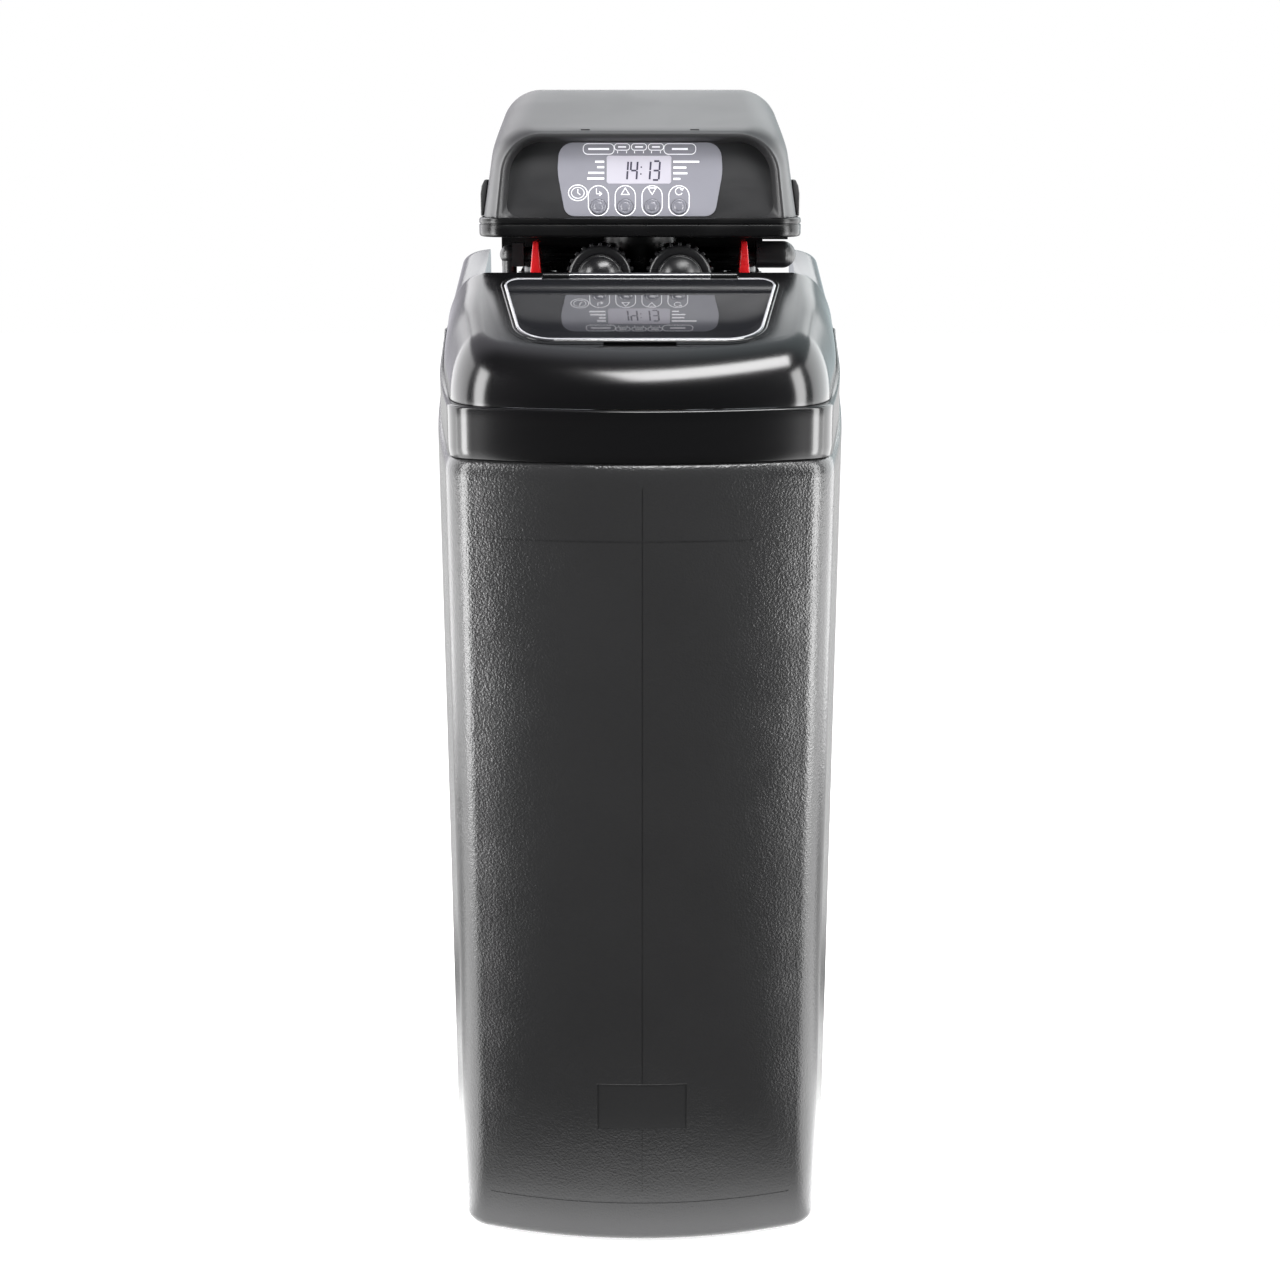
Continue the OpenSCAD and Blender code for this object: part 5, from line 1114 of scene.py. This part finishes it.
class SOFTENER_OT_panel(PieceOperator, bpy.types.Operator):
    """Marks on the panel, digits on the display and the four buttons"""
    bl_idname = "softener.panel"
    bl_label = "Panel"

    pitch = 27
    button_x = [27 * (k - 1.5) - 1.3 for k in range(4)]
    button_v = 10.5
    lcd = (-34, 33, 66, 28.5)                       # left, bottom, width and height of the display's opening
    small_x, head_v, small_v = (-18, -1, 16), 67.6, 69.6    # row of outlines over the display
    dial = (-62.5, 24.2)                            # clock mark
    dash_w, small_dash_w = 1.9, 1.5
    # Height and run of the dashes left and right of the display
    left_dashes = ((55, 9), (49.6, 7), (44, 16), (38.4, 17))
    right_dashes = ((55, 26), (49.2, 13), (43.6, 14), (38, 7))

    def build(self, shape, scene):
        self.marks(shape, shape.s["print_w"])
        self.digits(shape)
        self.corners(shape)
        self.buttons(shape)

    def marks(self, shape, w):
        white, (u, v) = FINISHES["print_white"], self.dial
        pill = solid("pill_outline", stroke(capsule(0, 16.4, 10.2, 14.9, 10.1, 10), w, True), outward=False)
        parts = [repeated("button_pills", row_tree(), {
            "Object": pill, "Count": len(self.button_x), "Start": (self.button_x[0] * MM, 0, 0),
            "Step": (self.pitch * MM, 0, 0), "Finish": white})]
        a, b, c, d = self.button_x
        loops = [capsule(x, self.head_v, half, 5.2, 4.6) for x, half in ((-41.5, 15.5), (40, 16))]
        loops += [capsule(x, self.small_v, 7.6, 3.2, 3.0) for x in self.small_x]
        loops += [[(b - 4, 22.6), (b + 4, 22.6), (b, 29)], [(c + 4, 29), (c - 4, 29), (c, 22.6)], oval(u, v, 9.4, 7.8)]
        lines = [[(x + e, 65.6), (x + e, 63.4)] for x in self.small_x for e in (-4.5, 4.5)]
        lines += [[(a - 2, 28.5), (a - 2, 23.2), (a + 2.6, 23.2)], [(a + 0.8, 25.4), (a + 3.4, 23.2), (a + 0.8, 21.2)],
                  oval(d, 25.8, 3.6, 3.6, 20, 310, 24), [(d + 1.4, 27.6), (d + 3.5, 26.9), (d + 4.4, 29)],
                  [(u, 28), (u, v), (u + 2.5, 22.2)]]
        dashes = [(-52, -31, self.head_v), (32, 48, self.head_v)]
        dashes += [(-36 - run, -36, high) for high, run in self.left_dashes]
        dashes += [(33.5, 33.5 + run, high) for high, run in self.right_dashes]
        parts += [stroke(points, w, True) for points in loops] + [stroke(points, w) for points in lines]
        parts += [stroke([(x, high), (end, high)], self.dash_w) for x, end, high in dashes]
        parts += [stroke([(x - 4, self.small_v), (x + 4, self.small_v)], self.small_dash_w) for x in self.small_x]
        parts.append(stroke(oval(u, v, 6.4, 5.4), 0.6, True))
        piece = print_on("panel_marks", parts, shape, 0.83, white, 0.08)
        fit(piece, "cabinet", "white_plastic")

    def corners(self, shape, r=4.2):
        """Rounds the corners of the panel's opening over the display."""
        left, low, wide, high = self.lcd
        parts = []
        for x, dx in ((left, 1), (left + wide, -1)):
            for v, dv in ((low, 1), (low + high, -1)):
                arc = [(x + dx * r * (1 - sin(a)), v + dv * r * (1 - cos(a))) for a in QUARTER]
                parts.append(moved(plate([(x, v)] + arc, 0.42, 0.80), shape.face))
        fit(solid("display_corners", joined(*parts), FINISHES["panel_grey"]), "cabinet", "panel_grey")

    def digits(self, shape):
        """Bars of the digits, named as on any seven-bar display."""
        low, high, slant, wide, thick = 37.0, 55.6, 0.07, 6.4, 1.8
        mid, end, gap = (low + high) / 2, 0.6, 0.5
        flat = lambda v: ((end, v), (wide - end, v))
        upper = lambda x: ((x, high - end), (x, mid + gap))
        lower = lambda x: ((x, mid - gap), (x, low + end))
        bars = {"a": flat(high), "b": upper(wide), "c": lower(wide), "d": flat(low), "f": upper(0), "g": flat(mid)}
        lean = lambda x, p: (x + p[0] + slant * (p[1] - low), p[1])
        parts = []
        for x, lit in ((-19.5, "bc"), (-10, "bcfg"), (3.2, "bc"), (12.4, "abcdg")):
            parts += [stroke([lean(x, p) for p in bars[k]], thick) for k in lit]
        for v in (mid - 3.4, mid + 3.4):
            parts.append(stroke([lean(0.4, (0, v - 0.7)), lean(0.4, (0, v + 0.7))], 1.4))
        piece = print_on("clock_digits", parts, shape, 0.43, FINISHES["digit_dark"], 0.05)
        fit(piece, "cabinet", "dark_plastic")

    def buttons(self, shape):
        """Domed buttons with a ring groove, on a flange and a stem."""
        dome, top, r, steps = 24.0, 3.2, 7.6, 24
        groove_r, groove_w, groove = 4.9, 0.8, 0.55
        sag = lambda x: dome - sqrt(dome * dome - x * x)
        profile = [(0, top)]
        for x in [(r - 0.5) * k / steps for k in range(1, steps + 1)]:
            profile.append((x, top - sag(x) - groove * exp(-((x - groove_r) / groove_w) ** 2)))
        profile += [(r, top - sag(r) - 0.4), (r, -3.3), (10.1, -3.3), (10.1, -5.3), (2.5, -5.3), (2.5, -10), (0, -10)]
        for name, x in zip(("clock", "up", "down", "cycle"), self.button_x):
            part = moved(lathe(profile, 48), shape.face @ Matrix.Translation((x, self.button_v, 0)))
            piece = solid(f"push_{name}", part, FINISHES["button_grey"], sharp=50)
            fit(piece, f"button_{name}", "panel_grey", f"button_{name}")


class SOFTENER_OT_nuts(PieceOperator, bpy.types.Operator):
    """Toothed ring nuts and the domed caps that they hold"""
    bl_idname = "softener.nuts"
    bl_label = "Ring nuts"

    x, y, z, tooth_r = 40.5, 2, 954, 33.0
    # Sections as radius, height
    ring = ((23.7, 0.5), (24.3, 0), (29.5, 0), (31.6, 0.9), (32.5, 2.6), (32.5, 20.4), (31.4, 22), (29.1, 22),
            (29.1, 1.5), (23.7, 1.5), (23.7, 0.5))
    dome_r, dome_h, dome_edge, dome_top, dome_steps = 23.3, 13, 21.6, -11.2, 16
    flange = ((23.3, 1.8), (28, 1.8), (28, 3.7), (18.4, 3.7), (18.4, 12), (0, 12))

    def build(self, shape, scene):
        finish = FINISHES["fitting_black"]
        tooth = solid("nut_tooth", block((-4.5, -1.9, 1.5), (1.9, 1.9, 20)))
        soften(tooth, 0.9, 2)
        teeth = repeated("nut_teeth", ring_tree(), {"Object": tooth, "Count": scene.softener_sizes.nut_teeth,
                                                    "Radius": self.tooth_r * MM, "Finish": finish})
        facing = Matrix.Rotation(-pi / 2, 4, "X")
        place = [Matrix.Translation((side * self.x, self.y, self.z)) @ facing for side in SIDES]
        nuts = joined(*[moved(part, m) for m in place for part in (lathe(self.ring, 96), teeth)])
        fit(solid("ring_nuts", nuts, finish, sharp=40), "cabinet", "fitting_black", "cap_nuts")
        big = (self.dome_r ** 2 + self.dome_h ** 2) / (2 * self.dome_h)
        turns = [asin(self.dome_edge / big) * k / self.dome_steps for k in range(self.dome_steps + 1)]
        arc = [(big * sin(t), self.dome_top + big * (1 - cos(t))) for t in turns]
        step = [(r, arc[-1][1] + h) for r, h in ((22.1, 0.1), (22.5, -0.5), (23.0, -0.3), (23.3, 0.5))]
        caps = joined(*[moved(lathe(arc + step + list(self.flange), 96), m) for m in place])
        fit(solid("domed_caps", caps, finish, sharp=40), "cabinet", "fitting_black", "end_caps")


class SOFTENER_OT_handles(PieceOperator, bpy.types.Operator):
    """Red bypass handles on their dark hubs"""
    bl_idname = "softener.handles"
    bl_label = "Bypass handles"

    x, y, foot = 107, 48, 957.3
    lever = ((957.3, 5.5, 24), (966, 4.7, 24), (978, 3.6, 23), (986, 2.9, 21), (989, 2.4, 18))     # z, half x, half y
    hub = ((4.4, 0), (13, 0), (13, 4.8), (12.2, 5.8), (6.5, 6), (4.4, 5.6), (4.4, 0))
    square = 3.05       # half the socket for the rotor's stem

    def build(self, shape, scene):
        for name, side in (("inlet", 1), ("outlet", -1)):
            x, y, q = side * self.x, self.y, self.square
            rows = [[(x + a, y + b, z) for a, b in ((-w, -d), (w, -d), (w, d), (-w, d))] for z, w, d in self.lever]
            piece = solid(f"{name}_lever", loft(rows), FINISHES["red_plastic"])
            cut(piece, block((x - q, y - q, 950), (x + q, y + q, 964.3)))
            soften(piece, 0.9, 3, 30)
            fit(piece, f"{name}_valve", "red_plastic", f"{name}_handle")
            hub = moved(lathe(self.hub), Matrix.Translation((x, y, self.foot)))
            fit(solid(f"{name}_hub", hub, FINISHES["fitting_black"]), f"{name}_valve", "red_plastic")


OPERATORS = (SOFTENER_OT_stage, SOFTENER_OT_finishes, SOFTENER_OT_cabinet, SOFTENER_OT_band, SOFTENER_OT_deck,
             SOFTENER_OT_lid, SOFTENER_OT_window, SOFTENER_OT_hood, SOFTENER_OT_panel, SOFTENER_OT_nuts,
             SOFTENER_OT_handles)


class VIEW3D_PT_softener(bpy.types.Panel):
    """Buttons for the pieces, with their sizes and colours"""
    bl_label = "Softener"
    bl_space_type = "VIEW_3D"
    bl_region_type = "UI"
    bl_category = "Softener"

    def draw(self, context):
        column = self.layout.column()
        for step in OPERATORS:
            column.operator(step.bl_idname)
        for group_name in ("softener_sizes", "softener_colours"):
            settings = getattr(context.scene, group_name)
            for key in type(settings).__annotations__:
                column.prop(settings, key)


CLASSES = (SoftenerSizes, SoftenerColours, *OPERATORS, VIEW3D_PT_softener)


def register():
    for item in CLASSES:
        bpy.utils.register_class(item)
    bpy.types.Scene.softener_sizes = bpy.props.PointerProperty(type=SoftenerSizes)
    bpy.types.Scene.softener_colours = bpy.props.PointerProperty(type=SoftenerColours)


def unregister():
    del bpy.types.Scene.softener_colours
    del bpy.types.Scene.softener_sizes
    for item in reversed(CLASSES):
        bpy.utils.unregister_class(item)


def main():
    register()
    for step in OPERATORS:
        area, name = step.bl_idname.split(".")
        getattr(getattr(bpy.ops, area), name)()


if __name__ == "__main__":
    main()
